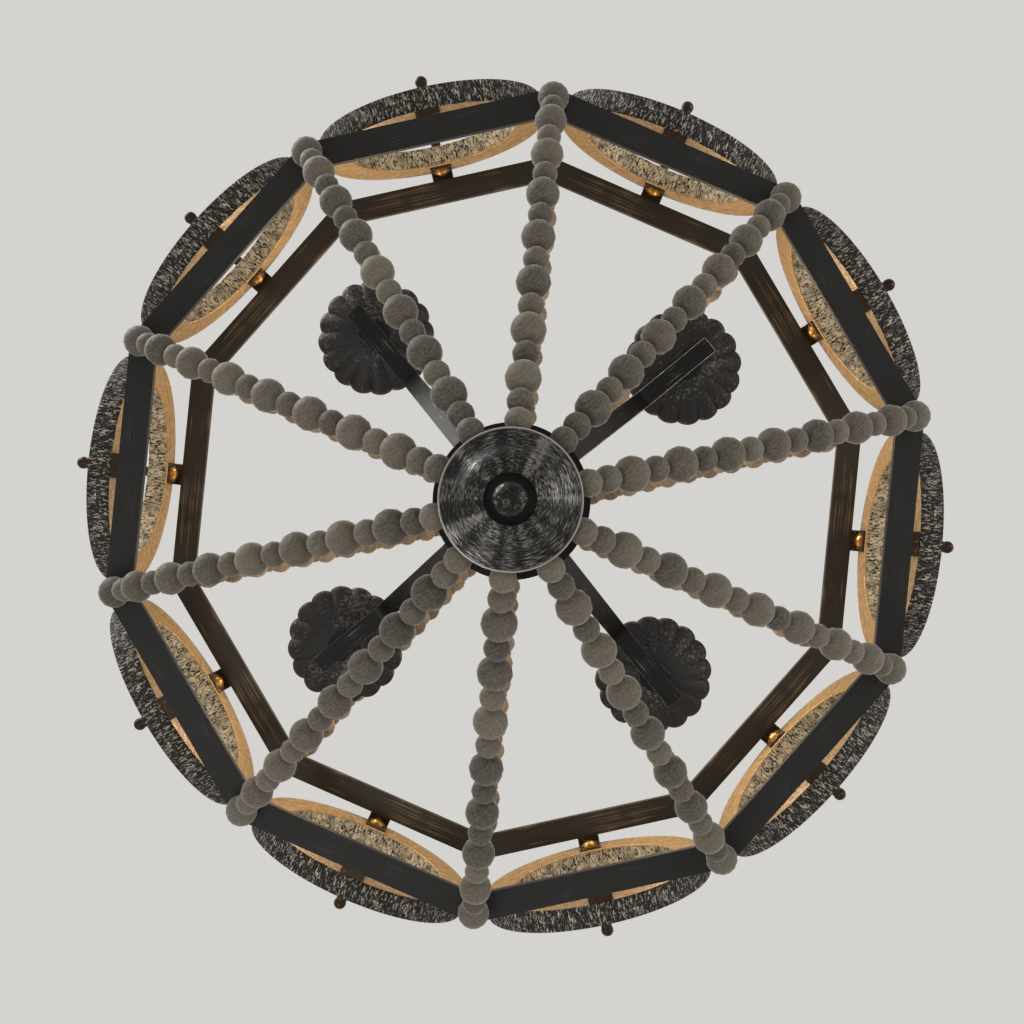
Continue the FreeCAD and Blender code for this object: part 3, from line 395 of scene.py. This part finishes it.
def bead_finish(name, dark, light, sheen):
    """Weathered turned wood; each bead has its own tone."""
    tone_share, grain_share, relief = 0.35, 0.8, 0.12 * MM
    material, tree, shader = new_finish(name)
    grain = placed(tree, wood_grain, Vector=object_lay(tree), Band_Scale=160.0, Pore_Scale=520.0)
    tone = put(tree, "ShaderNodeAttribute", {"attribute_name": "bead_tone"}).outputs["Fac"]
    level = number(tree, "ADD", number(tree, "MULTIPLY", tone, tone_share),
                   number(tree, "MULTIPLY", grain["Shade"], grain_share))
    colour = mixed(tree, spread(tree, level, 0.3, 0.85), linear(*dark), linear(*light))
    tree.links.new(colour, shader.inputs["Base Color"])
    tree.links.new(spread(tree, grain["Shade"], 0.2, 0.8, 0.72, 0.5), shader.inputs["Roughness"])
    tree.links.new(bumped(tree, grain["Height"], relief), shader.inputs["Normal"])
    shader.inputs["Sheen Weight"].default_value = sheen
    shader.inputs["Sheen Roughness"].default_value = 0.4
    shader.inputs["Specular IOR Level"].default_value = 0.35
    return material


def lamp_glass(name, base_top):
    """A frosted candle bulb, lit, with a brass screw base below the given height."""
    material, tree, shader = new_finish(name)
    place = object_lay(tree)
    height = put(tree, "ShaderNodeSeparateXYZ", None, Vector=place).outputs[2]
    above = number(tree, "GREATER_THAN", height, base_top)
    cloud = noise(tree, place, 60.0, 3.0, 0.5)
    frost = mixed(tree, cloud, linear(250, 238, 214), linear(240, 222, 190))
    glow = mixed(tree, above, linear(0, 0, 0), linear(255, 216, 164))
    tree.links.new(mixed(tree, above, linear(176, 142, 88), frost), shader.inputs["Base Color"])
    tree.links.new(spread(tree, above, 0.0, 1.0, 0.8, 0.0), shader.inputs["Metallic"])
    tree.links.new(spread(tree, cloud, 0.3, 0.7, 0.3, 0.42), shader.inputs["Roughness"])
    tree.links.new(glow, shader.inputs["Emission Color"])
    tree.links.new(bumped(tree, cloud, 0.1 * MM), shader.inputs["Normal"])
    shader.inputs["Emission Strength"].default_value = 0.7
    return material


canopy_iron = brushed_metal(
    "canopy_iron", (30, 29, 28), (92, 88, 82), object_lay, (160.0, 160.0, 420.0), 0.32)
chain_iron = brushed_metal(
    "chain_iron", (34, 32, 30), (104, 98, 90), object_lay, (300.0, 300.0, 90.0), 0.36)
# The lower bars' near-black is black iron darkened further with painted shade. The upper bars' brown is
# partly a brown rub and partly painted candle light.
lower_bar_iron_painted_shade = brushed_metal(
    "lower_bar_iron_painted_shade", (29, 29, 27), (60, 59, 55), bar_lay, ALONG_BAR, 0.4,
    metallic=0.25, roughness=(0.6, 0.48))
upper_bar_brown_painted_candlelight = brushed_metal(
    "upper_bar_brown_painted_candlelight", (58, 50, 41), (128, 108, 80), bar_lay, ALONG_BAR, 0.5,
    metallic=0.3, roughness=(0.58, 0.45))
strap_iron = brushed_metal(
    "strap_iron", (30, 29, 28), (112, 110, 108), arm_lay, (22.0, 520.0, 1.0), 0.42,
    roughness=(0.42, 0.3))
worn_edge = brushed_metal(
    "worn_edge", (150, 146, 140), (222, 219, 213), object_lay, (260.0, 260.0, 260.0), 0.7,
    metallic=0.3, roughness=(0.45, 0.32))
dull_edge = brushed_metal(
    "dull_edge", (34, 32, 29), (84, 77, 66), object_lay, (260.0, 260.0, 260.0), 0.45,
    metallic=0.4, roughness=(0.5, 0.4))
pan_iron = brushed_metal(
    "pan_iron", (50, 48, 47), (112, 109, 106), object_lay, (420.0, 420.0, 150.0), 0.5,
    metallic=0.5, roughness=(0.52, 0.36), relief=0.3 * MM)
dish_iron = brushed_dish("dish_iron", (34, 33, 32), (190, 187, 183))
ball_iron = brushed_metal(
    "ball_iron", (40, 38, 36), (150, 148, 146), object_lay, (420.0, 420.0, 160.0), 0.55,
    metallic=0.8, roughness=(0.34, 0.24))
plate_iron = brushed_metal(
    "plate_iron", (36, 34, 33), (90, 86, 80), round_lay, (6.0, 6.0, 500.0), 0.3)
bronze = brushed_metal(
    "bronze", (58, 45, 34), (146, 112, 74), object_lay, (240.0, 240.0, 240.0), 0.4,
    metallic=0.8, roughness=(0.42, 0.3))
screw_brass = brushed_metal(
    "screw_brass", (150, 108, 54), (226, 182, 108), object_lay, (300.0, 300.0, 300.0), 0.6,
    metallic=0.9, roughness=(0.38, 0.25))
bracket_brass = brushed_metal(
    "bracket_brass", (74, 60, 42), (150, 120, 78), object_lay, (220.0, 220.0, 420.0), 0.5,
    metallic=0.7, roughness=(0.45, 0.3))
wire_steel = brushed_metal(
    "wire_steel", (70, 66, 62), (150, 146, 140), object_lay, (500.0, 500.0, 500.0), 0.4,
    metallic=0.9)
zinc_steel = brushed_metal(
    "zinc_steel", (140, 142, 144), (196, 198, 200), object_lay, (60.0, 700.0, 60.0), 0.5,
    metallic=0.9)
socket_black = brushed_metal(
    "socket_black", (24, 23, 22), (52, 50, 48), object_lay, (300.0, 300.0, 60.0), 0.3,
    metallic=0.0, roughness=(0.45, 0.38))
sleeve_black = brushed_metal(
    "sleeve_black", (38, 34, 30), (92, 80, 64), object_lay, (260.0, 260.0, 40.0), 0.36,
    metallic=0.1, roughness=(0.55, 0.45))
ring_gold = gilded_wood("ring_gold", (202, 166, 112), (158, 122, 76))
ring_rim = carved_wood("ring_rim", (28, 26, 24), (214, 203, 186), (560.0, 200.0, 1.0), 0.5)
# On the bore, the pale rub on the ridges is tinted warm cream with painted candle light; the dark
# hollows are the real black paint.
ring_bore_rub_and_candlelight = carved_wood("ring_bore_rub_and_candlelight", (44, 35, 25), (236, 212, 172), (380.0, 220.0, 1.0), 0.84)
ring_back = carved_wood("ring_back", (34, 29, 24), (150, 128, 96), (300.0, 420.0, 1.0), 0.5)
grey_bead = bead_finish("grey_bead", (70, 65, 58), (124, 115, 102), 0.35)
# The upper beads are the same grey-brown wood as the lower ones; their warmer, lighter tan is painted
# candle light.
bead_painted_candlelight = bead_finish("bead_painted_candlelight", (92, 76, 58), (160, 136, 108), 0.25)


# ---------------------------------------------------------------- mesh helpers

def new_piece(name, mesh):
    piece = bpy.data.objects.new(name, mesh)
    bpy.context.scene.collection.objects.link(piece)
    return piece


def mesh_from(name, points, faces, smooth=True):
    mesh = bpy.data.meshes.new(name)
    mesh.from_pydata([tuple(p) for p in points], [], faces)
    mesh.update()
    if smooth:
        mesh.shade_smooth()
    return mesh


def riding(piece, body, slot, *nodes):
    """Hides the nodes that a piece stands in for and hangs the piece on the body that carries it. The
    slot is not used.
    """
    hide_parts(*nodes)
    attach(piece, body)
    return piece


def eased_copy(name, node, width, materials):
    """A node's own shape with its hard edges rounded; the rounding shows the second material."""
    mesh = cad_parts[node].data.copy()
    mesh.name = name
    for layer in list(mesh.uv_layers):
        mesh.uv_layers.remove(layer)
    solid = bmesh.new()
    solid.from_mesh(mesh)
    bmesh.ops.remove_doubles(solid, verts=solid.verts, dist=MERGE_DISTANCE)
    bmesh.ops.dissolve_limit(solid, angle_limit=FLAT_ANGLE, verts=solid.verts,
                             edges=solid.edges)
    solid.to_mesh(mesh)
    solid.free()
    mesh.materials.clear()
    for material in materials:
        mesh.materials.append(material)
    for polygon in mesh.polygons:
        polygon.material_index = 0
    mesh.shade_smooth()
    mesh.set_sharp_from_angle(angle=CREASE_ANGLE)
    piece = new_piece(name, mesh)
    bevel = piece.modifiers.new("eased_edges", "BEVEL")
    bevel.width = width
    bevel.segments = EASED_SEGMENTS
    bevel.limit_method = "ANGLE"
    bevel.angle_limit = EASED_ANGLE
    bevel.harden_normals = True
    bevel.material = len(materials) - 1
    return piece


def open_geometry(name, inputs):
    """A new Geometry Nodes tree: the tree, the sockets that it is given and the one it puts out."""
    tree = bpy.data.node_groups.new(name, "GeometryNodeTree")
    tree.interface.new_socket("Geometry", in_out="INPUT", socket_type="NodeSocketGeometry")
    for label, kind in inputs:
        tree.interface.new_socket(label, in_out="INPUT", socket_type=kind)
    tree.interface.new_socket("Geometry", in_out="OUTPUT", socket_type="NodeSocketGeometry")
    made = tree.nodes.new("NodeGroupOutput").inputs[0]
    return tree, tree.nodes.new("NodeGroupInput").outputs, made


def named(tree, name, kind="FLOAT"):
    return put(tree, "GeometryNodeInputNamedAttribute", {"data_type": kind}, Name=name).outputs[0]


def make_row_tree(name, zones):
    """Sets one template on every point, sized and turned by the point's own values."""
    inputs = [("Template", "NodeSocketObject"), ("Tone Seed", "NodeSocketInt")]
    inputs += [(f"Finish {zone}", "NodeSocketMaterial") for zone in range(zones)]
    tree, given, out = open_geometry(name, inputs)
    template = put(tree, "GeometryNodeObjectInfo", None, Object=given["Template"])
    row = put(tree, "GeometryNodeInstanceOnPoints", None, Points=given["Geometry"],
              Instance=template.outputs["Geometry"], Rotation=named(tree, "turn", "FLOAT_VECTOR"),
              Scale=named(tree, "size")).outputs[0]
    tone = put(tree, "FunctionNodeRandomValue", {"data_type": "FLOAT"},
               Seed=given["Tone Seed"]).outputs[1]
    toned = put(tree, "GeometryNodeStoreNamedAttribute",
                {"data_type": "FLOAT", "domain": "INSTANCE"},
                Geometry=row, Name="bead_tone", Value=tone).outputs[0]
    made = put(tree, "GeometryNodeRealizeInstances", None, Geometry=toned).outputs[0]
    zone_of = named(tree, "zone")
    for zone in range(zones):
        chosen = put(tree, "FunctionNodeCompare", {"operation": "EQUAL"}, A=zone_of, B=float(zone),
                     Epsilon=0.1).outputs[0]
        made = put(tree, "GeometryNodeSetMaterial", None, Geometry=made, Selection=chosen,
                   Material=given[f"Finish {zone}"]).outputs[0]
    tree.links.new(made, out)
    return tree


def row_of(name, template, places, tree, seed, finishes):
    """A plain mesh of the template repeated at (point, turn, size)."""
    mesh = bpy.data.meshes.new(name + "_points")
    mesh.from_pydata([tuple(point) for point, turn, size in places], [], [])
    mesh.attributes.new("turn", "FLOAT_VECTOR", "POINT").data.foreach_set(
        "vector", [angle for point, turn, size in places for angle in turn])
    mesh.attributes.new("size", "FLOAT", "POINT").data.foreach_set(
        "value", [size for point, turn, size in places])
    points = new_piece(name + "_points", mesh)
    modifier = points.modifiers.new("row", "NODES")
    modifier.node_group = tree
    sockets = {item.name: item.identifier for item in tree.interface.items_tree
               if item.in_out == "INPUT"}
    modifier[sockets["Template"]] = template
    modifier[sockets["Tone Seed"]] = seed
    for zone, finish in enumerate(finishes):
        modifier[sockets[f"Finish {zone}"]] = finish
    graph = bpy.context.evaluated_depsgraph_get()
    made = bpy.data.meshes.new_from_object(
        points.evaluated_get(graph), preserve_all_data_layers=True, depsgraph=graph)
    bpy.data.objects.remove(points)
    made.name = name
    return new_piece(name, made)


# ---------------------------------------------------------------- bead strands

def bead_template():
    """A turned bead of unit radius along Z, flat at both ends."""
    points, faces = [], []
    for band in range(BEAD_BANDS + 1):
        angle = BEAD_FLAT + (math.pi - 2 * BEAD_FLAT) * band / BEAD_BANDS
        reach, height = math.sin(angle), -math.cos(angle)
        for step in range(BEAD_SEGMENTS):
            turn = 2 * math.pi * step / BEAD_SEGMENTS
            points.append((reach * math.cos(turn), reach * math.sin(turn), height))
    for band in range(BEAD_BANDS):
        start = band * BEAD_SEGMENTS
        for step in range(BEAD_SEGMENTS):
            first, second = start + step, start + (step + 1) % BEAD_SEGMENTS
            faces.append((first, second, second + BEAD_SEGMENTS, first + BEAD_SEGMENTS))
    faces.append(tuple(reversed(range(BEAD_SEGMENTS))))
    faces.append(tuple(BEAD_BANDS * BEAD_SEGMENTS + step for step in range(BEAD_SEGMENTS)))
    mesh = mesh_from("bead_template", points, faces)
    mesh.attributes.new("zone", "FLOAT", "FACE")
    return new_piece("bead_template", mesh)


def hanging_line(start, end, start_slope, start_pull, end_slope, end_pull):
    """The strand's line as (distance from the axis, height) points, and the length up to each."""
    steps = 1200
    first, last = math.radians(start_slope), math.radians(end_slope)
    down = 1 if end[1] > start[1] else -1
    poles = np.array([
        start,
        (start[0] - math.cos(first) * start_pull, start[1] + down * math.sin(first) * start_pull),
        (end[0] + math.cos(last) * end_pull, end[1] - down * math.sin(last) * end_pull),
        end,
    ])
    t = np.linspace(0.0, 1.0, steps + 1)[:, None]
    line = ((1 - t) ** 3 * poles[0] + 3 * (1 - t) ** 2 * t * poles[1]
            + 3 * (1 - t) * t ** 2 * poles[2] + t ** 3 * poles[3])
    runs = np.linalg.norm(np.diff(line, axis=0), axis=1)
    return line, np.concatenate([[0.0], np.cumsum(runs)])


def bead_row(length, first, second):
    """(radius, distance along the strand) of each bead: two sizes in turn, a small one last."""
    def step(before, after):
        return (before + after) * math.cos(BEAD_FLAT) + BEAD_GAP
    row = [(first, 0.0)]
    while row[-1][1] < length:
        radius = second if len(row) % 2 else first
        row.append((radius, row[-1][1] + step(row[-1][0], radius)))
    while row[-1][1] > length or row[-1][0] != SMALL_BEAD:
        row.pop()
    closing = row[-1][1] + step(SMALL_BEAD, SMALL_BEAD)
    if closing <= length:
        row.append((SMALL_BEAD, closing))
    return [(radius, place * length / row[-1][1]) for radius, place in row]


def strand_places(line, lengths, row, bearing, spins):
    """(point, turn, size) of each bead of one strand, with its bore along the line."""
    def at(station):
        return np.array([np.interp(station, lengths, line[:, 0]), 0.0,
                         np.interp(station, lengths, line[:, 1])])
    turn = Matrix.Rotation(bearing, 4, "Z")
    places = []
    for radius, station in row:
        ahead = min(station + MM, lengths[-1])
        run = Vector(at(ahead) - at(ahead - 2 * MM))
        axis = turn @ run.normalized()
        lean = axis.to_track_quat("Z", "Y").to_matrix().to_4x4()
        spin = Matrix.Rotation(spins.uniform(0, 2 * math.pi), 4, "Z")
        places.append((turn @ Vector(at(station)), (lean @ spin).to_euler(), radius))
    return places


def make_strands():
    """Ten lower strands, a piece each, and the ten upper ones together."""
    tree = make_row_tree("bead_string", 1)
    bead = bead_template()
    spins = random.Random(BEAD_SEED)
    corner = SIDE_STEP / 2
    frame_corner = frame_high.x / math.cos(corner)
    line, lengths = hanging_line(
        (frame_corner - LOWER_INSET, frame_low.z - LARGE_BEAD - BEAD_GAP),
        (PLATE_REACH, plate_high.z + SMALL_BEAD), **LOWER_HANG)
    row = bead_row(lengths[-1], LARGE_BEAD, SMALL_BEAD)
    for place, node in enumerate(STRAND_NODES):
        places = strand_places(line, lengths, row, corner + place * SIDE_STEP, spins)
        piece = row_of(f"beads_{place + 1:02d}", bead, places, tree, BEAD_SEED + place,
                       [grey_bead])
        riding(piece, "fixture", "bead_wood", node)
    line, lengths = hanging_line(
        (frame_corner - UPPER_INSET, upper_high.z + SMALL_BEAD + BEAD_GAP),
        (CROWN_REACH, crown_low.z - SMALL_BEAD - BEAD_GAP), **UPPER_HANG)
    row = bead_row(lengths[-1], SMALL_BEAD, LARGE_BEAD)
    places = []
    for place in range(SIDES):
        places += strand_places(line, lengths, row, corner + place * SIDE_STEP, spins)
    piece = row_of("upper_beads", bead, places, tree, BEAD_SEED, [bead_painted_candlelight])
    riding(piece, "fixture", "bead_wood", "upper_strands")
    bpy.data.objects.remove(bead)


# ---------------------------------------------------------------- wooden rings

def ring_template():
    """One ring about the X axis: its inner face at zero, with rounded arrises and a UV map in metres."""
    radius, depth = (ring_high.z - ring_low.z) / 2, ring_high.x - ring_low.x
    near_x, far_x = RING_EASE, depth - RING_EASE
    near_r, far_r = RING_BORE + RING_EASE, radius - RING_EASE
    corners = [(near_x, near_r, 270, GOLD_ZONE, GOLD_ZONE), (near_x, far_r, 180, RIM_ZONE, RIM_ZONE),
               (far_x, far_r, 90, RIM_ZONE, BACK_ZONE), (far_x, near_r, 0, BORE_ZONE, BORE_ZONE)]
    profile, zones = [], []
    for x, r, start, arris, face in corners:
        for step in range(RING_ARC_STEPS + 1):
            angle = math.radians(start - 90 * step / RING_ARC_STEPS)
            profile.append((x + RING_EASE * math.cos(angle), r + RING_EASE * math.sin(angle)))
            zones.append(face if step == RING_ARC_STEPS else arris)
    count = len(profile)
    along = [0.0]
    for index in range(count):
        along.append(along[-1] + math.dist(profile[index], profile[(index + 1) % count]))
    points, faces, uvs = [], [], []
    for segment in range(RING_SEGMENTS):
        turn = 2 * math.pi * segment / RING_SEGMENTS
        points += [(x, r * math.cos(turn), r * math.sin(turn)) for x, r in profile]
        here, there = segment * count, (segment + 1) % RING_SEGMENTS * count
        near, far = (2 * math.pi * radius * place / RING_SEGMENTS
                     for place in (segment, segment + 1))
        for index in range(count):
            following = (index + 1) % count
            low, high = along[index], along[index + 1]
            faces.append((here + index, there + index, there + following, here + following))
            uvs += [near, low, far, low, far, high, near, high]
    mesh = mesh_from("ring_template", points, faces)
    mesh.attributes.new("zone", "FLOAT", "FACE").data.foreach_set(
        "value", [float(zone) for zone in zones] * RING_SEGMENTS)
    mesh.uv_layers.new(name="lay").data.foreach_set("uv", uvs)
    solid = bmesh.new()
    solid.from_mesh(mesh)
    bmesh.ops.recalc_face_normals(solid, faces=solid.faces)
    solid.to_mesh(mesh)
    solid.free()
    mesh.set_sharp_from_angle(angle=RING_CREASE)
    return new_piece("ring_template", mesh)


def make_rings():
    template = ring_template()
    height = (ring_low.z + ring_high.z) / 2
    places = []
    for place in range(SIDES):
        bearing = place * SIDE_STEP
        point = Vector((ring_low.x * math.cos(bearing), ring_low.x * math.sin(bearing), height))
        places.append((point, Euler((0.0, 0.0, bearing)), 1.0))
    tree = make_row_tree("ring_row", 4)
    rings = row_of("wooden_rings", template, places, tree, BEAD_SEED,
                   [ring_gold, ring_rim, ring_bore_rub_and_candlelight, ring_back])
    riding(rings, "fixture", "ring_wood", *RING_NODES)
    bpy.data.objects.remove(template)


# ---------------------------------------------------------------- scalloped pans

def make_pan(name, node):
    """A fluted pan of sheet iron: rounded lobes with sharp hollows between them."""
    low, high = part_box(node)
    middle, rim, depth = (low + high) / 2, (high.x - low.x) / 2, high.z - low.z
    points, faces = [], []
    count = PAN_LOBES * PAN_LOBE_STEPS
    for row in range(PAN_ROWS + 1):
        t = row / PAN_ROWS
        for step in range(count):
            turn = 2 * math.pi * step / count
            across = (step % PAN_LOBE_STEPS) / PAN_LOBE_STEPS
            lobe = math.sin(math.pi * across) ** PAN_LOBE_POWER
            reach = PAN_HUB + (rim - PAN_NOTCH * t * (1 - lobe) - PAN_HUB) * t
            rise = depth * (PAN_FOOT * t + (1 - PAN_FOOT) * t ** PAN_CURVE) * (1 - PAN_SWELL * lobe)
            points.append((middle.x + reach * math.cos(turn), middle.y + reach * math.sin(turn),
                           low.z + rise))
    for row in range(PAN_ROWS):
        for step in range(count):
            first, second = row * count + step, row * count + (step + 1) % count
            faces.append((first, first + count, second + count, second))
    faces.append(tuple(range(count)))
    mesh = mesh_from(name, points, faces)
    if mesh.polygons[-1].normal.z > 0:
        mesh.flip_normals()
    mesh.set_sharp_from_angle(angle=PAN_CREASE)
    mesh.materials.append(pan_iron)
    mesh.materials.append(worn_edge)
    pan = new_piece(name, mesh)
    wall = pan.modifiers.new("sheet", "SOLIDIFY")
    wall.thickness = PAN_SHEET
    wall.offset = -1
    wall.material_offset_rim = 1
    return riding(pan, "fixture", "dark_iron", node)


# ---------------------------------------------------------------- making

make_strands()
make_rings()
for place, node in enumerate(PAN_NODES):
    make_pan(f"fluted_pan_{place + 1}", node)

EASED = [
    ("lower_bars", "lower_frame", BAR_EASE, [lower_bar_iron_painted_shade, dull_edge], "frame_iron"),
    ("upper_bars", "upper_frame", BAR_EASE, [upper_bar_brown_painted_candlelight, dull_edge], "frame_iron"),
    ("lower_angle_brackets", "lower_ring_brackets", BRACKET_EASE, [bronze, bracket_brass],
     "frame_iron"),
    ("upper_angle_brackets", "upper_ring_brackets", BRACKET_EASE, [bracket_brass, screw_brass],
     "frame_iron"),
]
EASED += [(f"strap_{place + 1}", node, STRAP_EASE, [strap_iron, worn_edge], "dark_iron")
          for place, node in enumerate(ARM_NODES)]
for name, node, width, materials, slot_name in EASED:
    riding(eased_copy(name, node, width, materials), "fixture", slot_name, node)

candle_glass = lamp_glass("candle_glass", bulb_low.z + BULB_BASE)
DRESSED = {
    "ceiling_crossbar": zinc_steel, "canopy": canopy_iron, "canopy_loop": chain_iron,
    "collar_ring": chain_iron, "top_loop": chain_iron, "crown": plate_iron, "centre_stem": chain_iron,
    "stem_nuts": bronze, "upper_strand_wires": wire_steel, "bracket_screws": screw_brass,
    "ball_nuts": bronze, "lower_strand_wires": wire_steel, "hub_plate": plate_iron,
    "arm_screws": chain_iron, "pan_discs": strap_iron, "sockets": socket_black,
    "candle_sleeves": sleeve_black, "strand_plate": plate_iron, "bottom_bowl": dish_iron,
    "finial": ball_iron,
}
DRESSED.update({f"chain_link_{link}": chain_iron for link in (1, 2, 3)})
DRESSED.update({node: candle_glass for node in BULB_NODES})
for node, material in DRESSED.items():
    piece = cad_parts[node]
    if not piece.material_slots:
        piece.data.materials.append(material)
    for slot in piece.material_slots:
        slot.material = material


# ---------------------------------------------------------------- room, light and camera

FLOOR_HEIGHT, FLOOR_HALF = -2.45, 14.0
ROOM_LIGHT = 0.62
CANDLE_POWER, CANDLE_RADIUS, CANDLE_GAP = 0.45, 0.02, 30 * MM

# The camera as it was fitted to the photograph: its lens, its turn and lean in radians, and its
# place, off the fixture's axis and below the lower frame.
PICTURE, FOCAL_PIXELS, SENSOR = 1024, 1348.0, 36.0
CAMERA_TURN = math.radians(5.6)
CAMERA_LEAN_ACROSS, CAMERA_LEAN_DOWN = 0.0097, -0.0077
CAMERA_RIGHT, CAMERA_DOWN, CAMERA_DROP = 8.7 * MM, 13.65 * MM, 1029.4 * MM


def make_room():
    """A pale world, seen at full strength but lighting the object softly, and a pale floor."""
    pale = linear(213, 211, 207)
    world = bpy.data.worlds.new("pale_room")
    bpy.context.scene.world = world
    world.use_nodes = True
    tree = world.node_tree
    tree.nodes.clear()
    path = put(tree, "ShaderNodeLightPath").outputs
    seen = number(tree, "MAXIMUM", path["Is Camera Ray"],
                  number(tree, "MAXIMUM", path["Is Glossy Ray"], path["Is Transmission Ray"]))
    soft = put(tree, "ShaderNodeBackground", None, Color=(1.0, 0.985, 0.96, 1.0),
               Strength=ROOM_LIGHT).outputs[0]
    shown = put(tree, "ShaderNodeBackground", None, Color=pale, Strength=1.0).outputs[0]
    both = put(tree, "ShaderNodeMixShader", None, _0=seen, _1=soft, _2=shown).outputs[0]
    put(tree, "ShaderNodeOutputWorld", None, Surface=both)

    corners = [(x * FLOOR_HALF, y * FLOOR_HALF, FLOOR_HEIGHT)
               for x, y in ((-1, -1), (1, -1), (1, 1), (-1, 1))]
    mesh = mesh_from("floor", corners, [(0, 1, 2, 3)], smooth=False)
    material, tree, shader = new_finish("pale_floor")
    speck = noise(tree, object_lay(tree), 40.0, 3.0, 0.5)
    tree.links.new(mixed(tree, spread(tree, speck, 0.4, 0.6), pale, linear(208, 206, 202)),
                   shader.inputs["Base Color"])
    shader.inputs["Roughness"].default_value = 0.9
    mesh.materials.append(material)
    new_piece("floor", mesh)


def add_light(name, kind, place):
    lamp = bpy.data.lights.new(name, kind)
    holder = bpy.data.objects.new(name, lamp)
    holder.location = place
    bpy.context.scene.collection.objects.link(holder)
    return lamp, holder


def add_softbox(name, place, size, power):
    """A round soft light that faces the lower frame's middle."""
    lamp, holder = add_light(name, "AREA", place)
    lamp.shape = "DISK"
    lamp.size, lamp.energy = size, power
    facing = Vector(place) - Vector((0.0, 0.0, frame_low.z))
    holder.rotation_euler = facing.to_track_quat("Z", "Y").to_euler()


def make_lights():
    add_softbox("key_light", (-1.5, -1.2, -0.2), 1.4, 26.0)
    add_softbox("fill_light", (1.8, -0.4, -1.5), 1.4, 9.0)
    add_softbox("low_light", (-0.6, 0.9, -2.3), 1.0, 7.0)
    for place, node in enumerate(BULB_NODES):
        low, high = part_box(node)
        flame = ((low.x + high.x) / 2, (low.y + high.y) / 2, high.z + CANDLE_GAP)
        lamp, _ = add_light(f"candle_light_{place + 1}", "POINT", flame)
        lamp.energy, lamp.color, lamp.shadow_soft_size = CANDLE_POWER, (1.0, 0.8, 0.56), CANDLE_RADIUS


def make_camera():
    """Straight up from below the dish; the sides are turned a little in the picture."""
    right = Vector((math.cos(CAMERA_TURN), -math.sin(CAMERA_TURN), 0.0))
    down = Vector((math.sin(CAMERA_TURN), math.cos(CAMERA_TURN), 0.0))
    tilt = (Matrix.Rotation(CAMERA_LEAN_ACROSS, 3, "Y")
            @ Matrix.Rotation(CAMERA_LEAN_DOWN, 3, "X")).transposed()
    to_frame = Matrix((right, down, (0.0, 0.0, 1.0))).transposed()
    columns = [to_frame @ (tilt @ Vector(axis)) for axis in ((1, 0, 0), (0, -1, 0), (0, 0, -1))]
    pose = Matrix(columns).transposed().to_4x4()
    below = Vector((0.0, 0.0, frame_low.z - CAMERA_DROP))
    pose.translation = right * CAMERA_RIGHT + down * CAMERA_DOWN + below
    lens = bpy.data.cameras.new("camera")
    lens.sensor_fit = "HORIZONTAL"
    lens.sensor_width = SENSOR
    lens.lens = SENSOR * FOCAL_PIXELS / PICTURE
    lens.clip_start = 0.01
    camera = bpy.data.objects.new("camera", lens)
    camera.matrix_world = pose
    bpy.context.scene.collection.objects.link(camera)
    bpy.context.scene.camera = camera


make_room()
make_lights()
make_camera()
bpy.context.scene.view_settings.view_transform = "Standard"
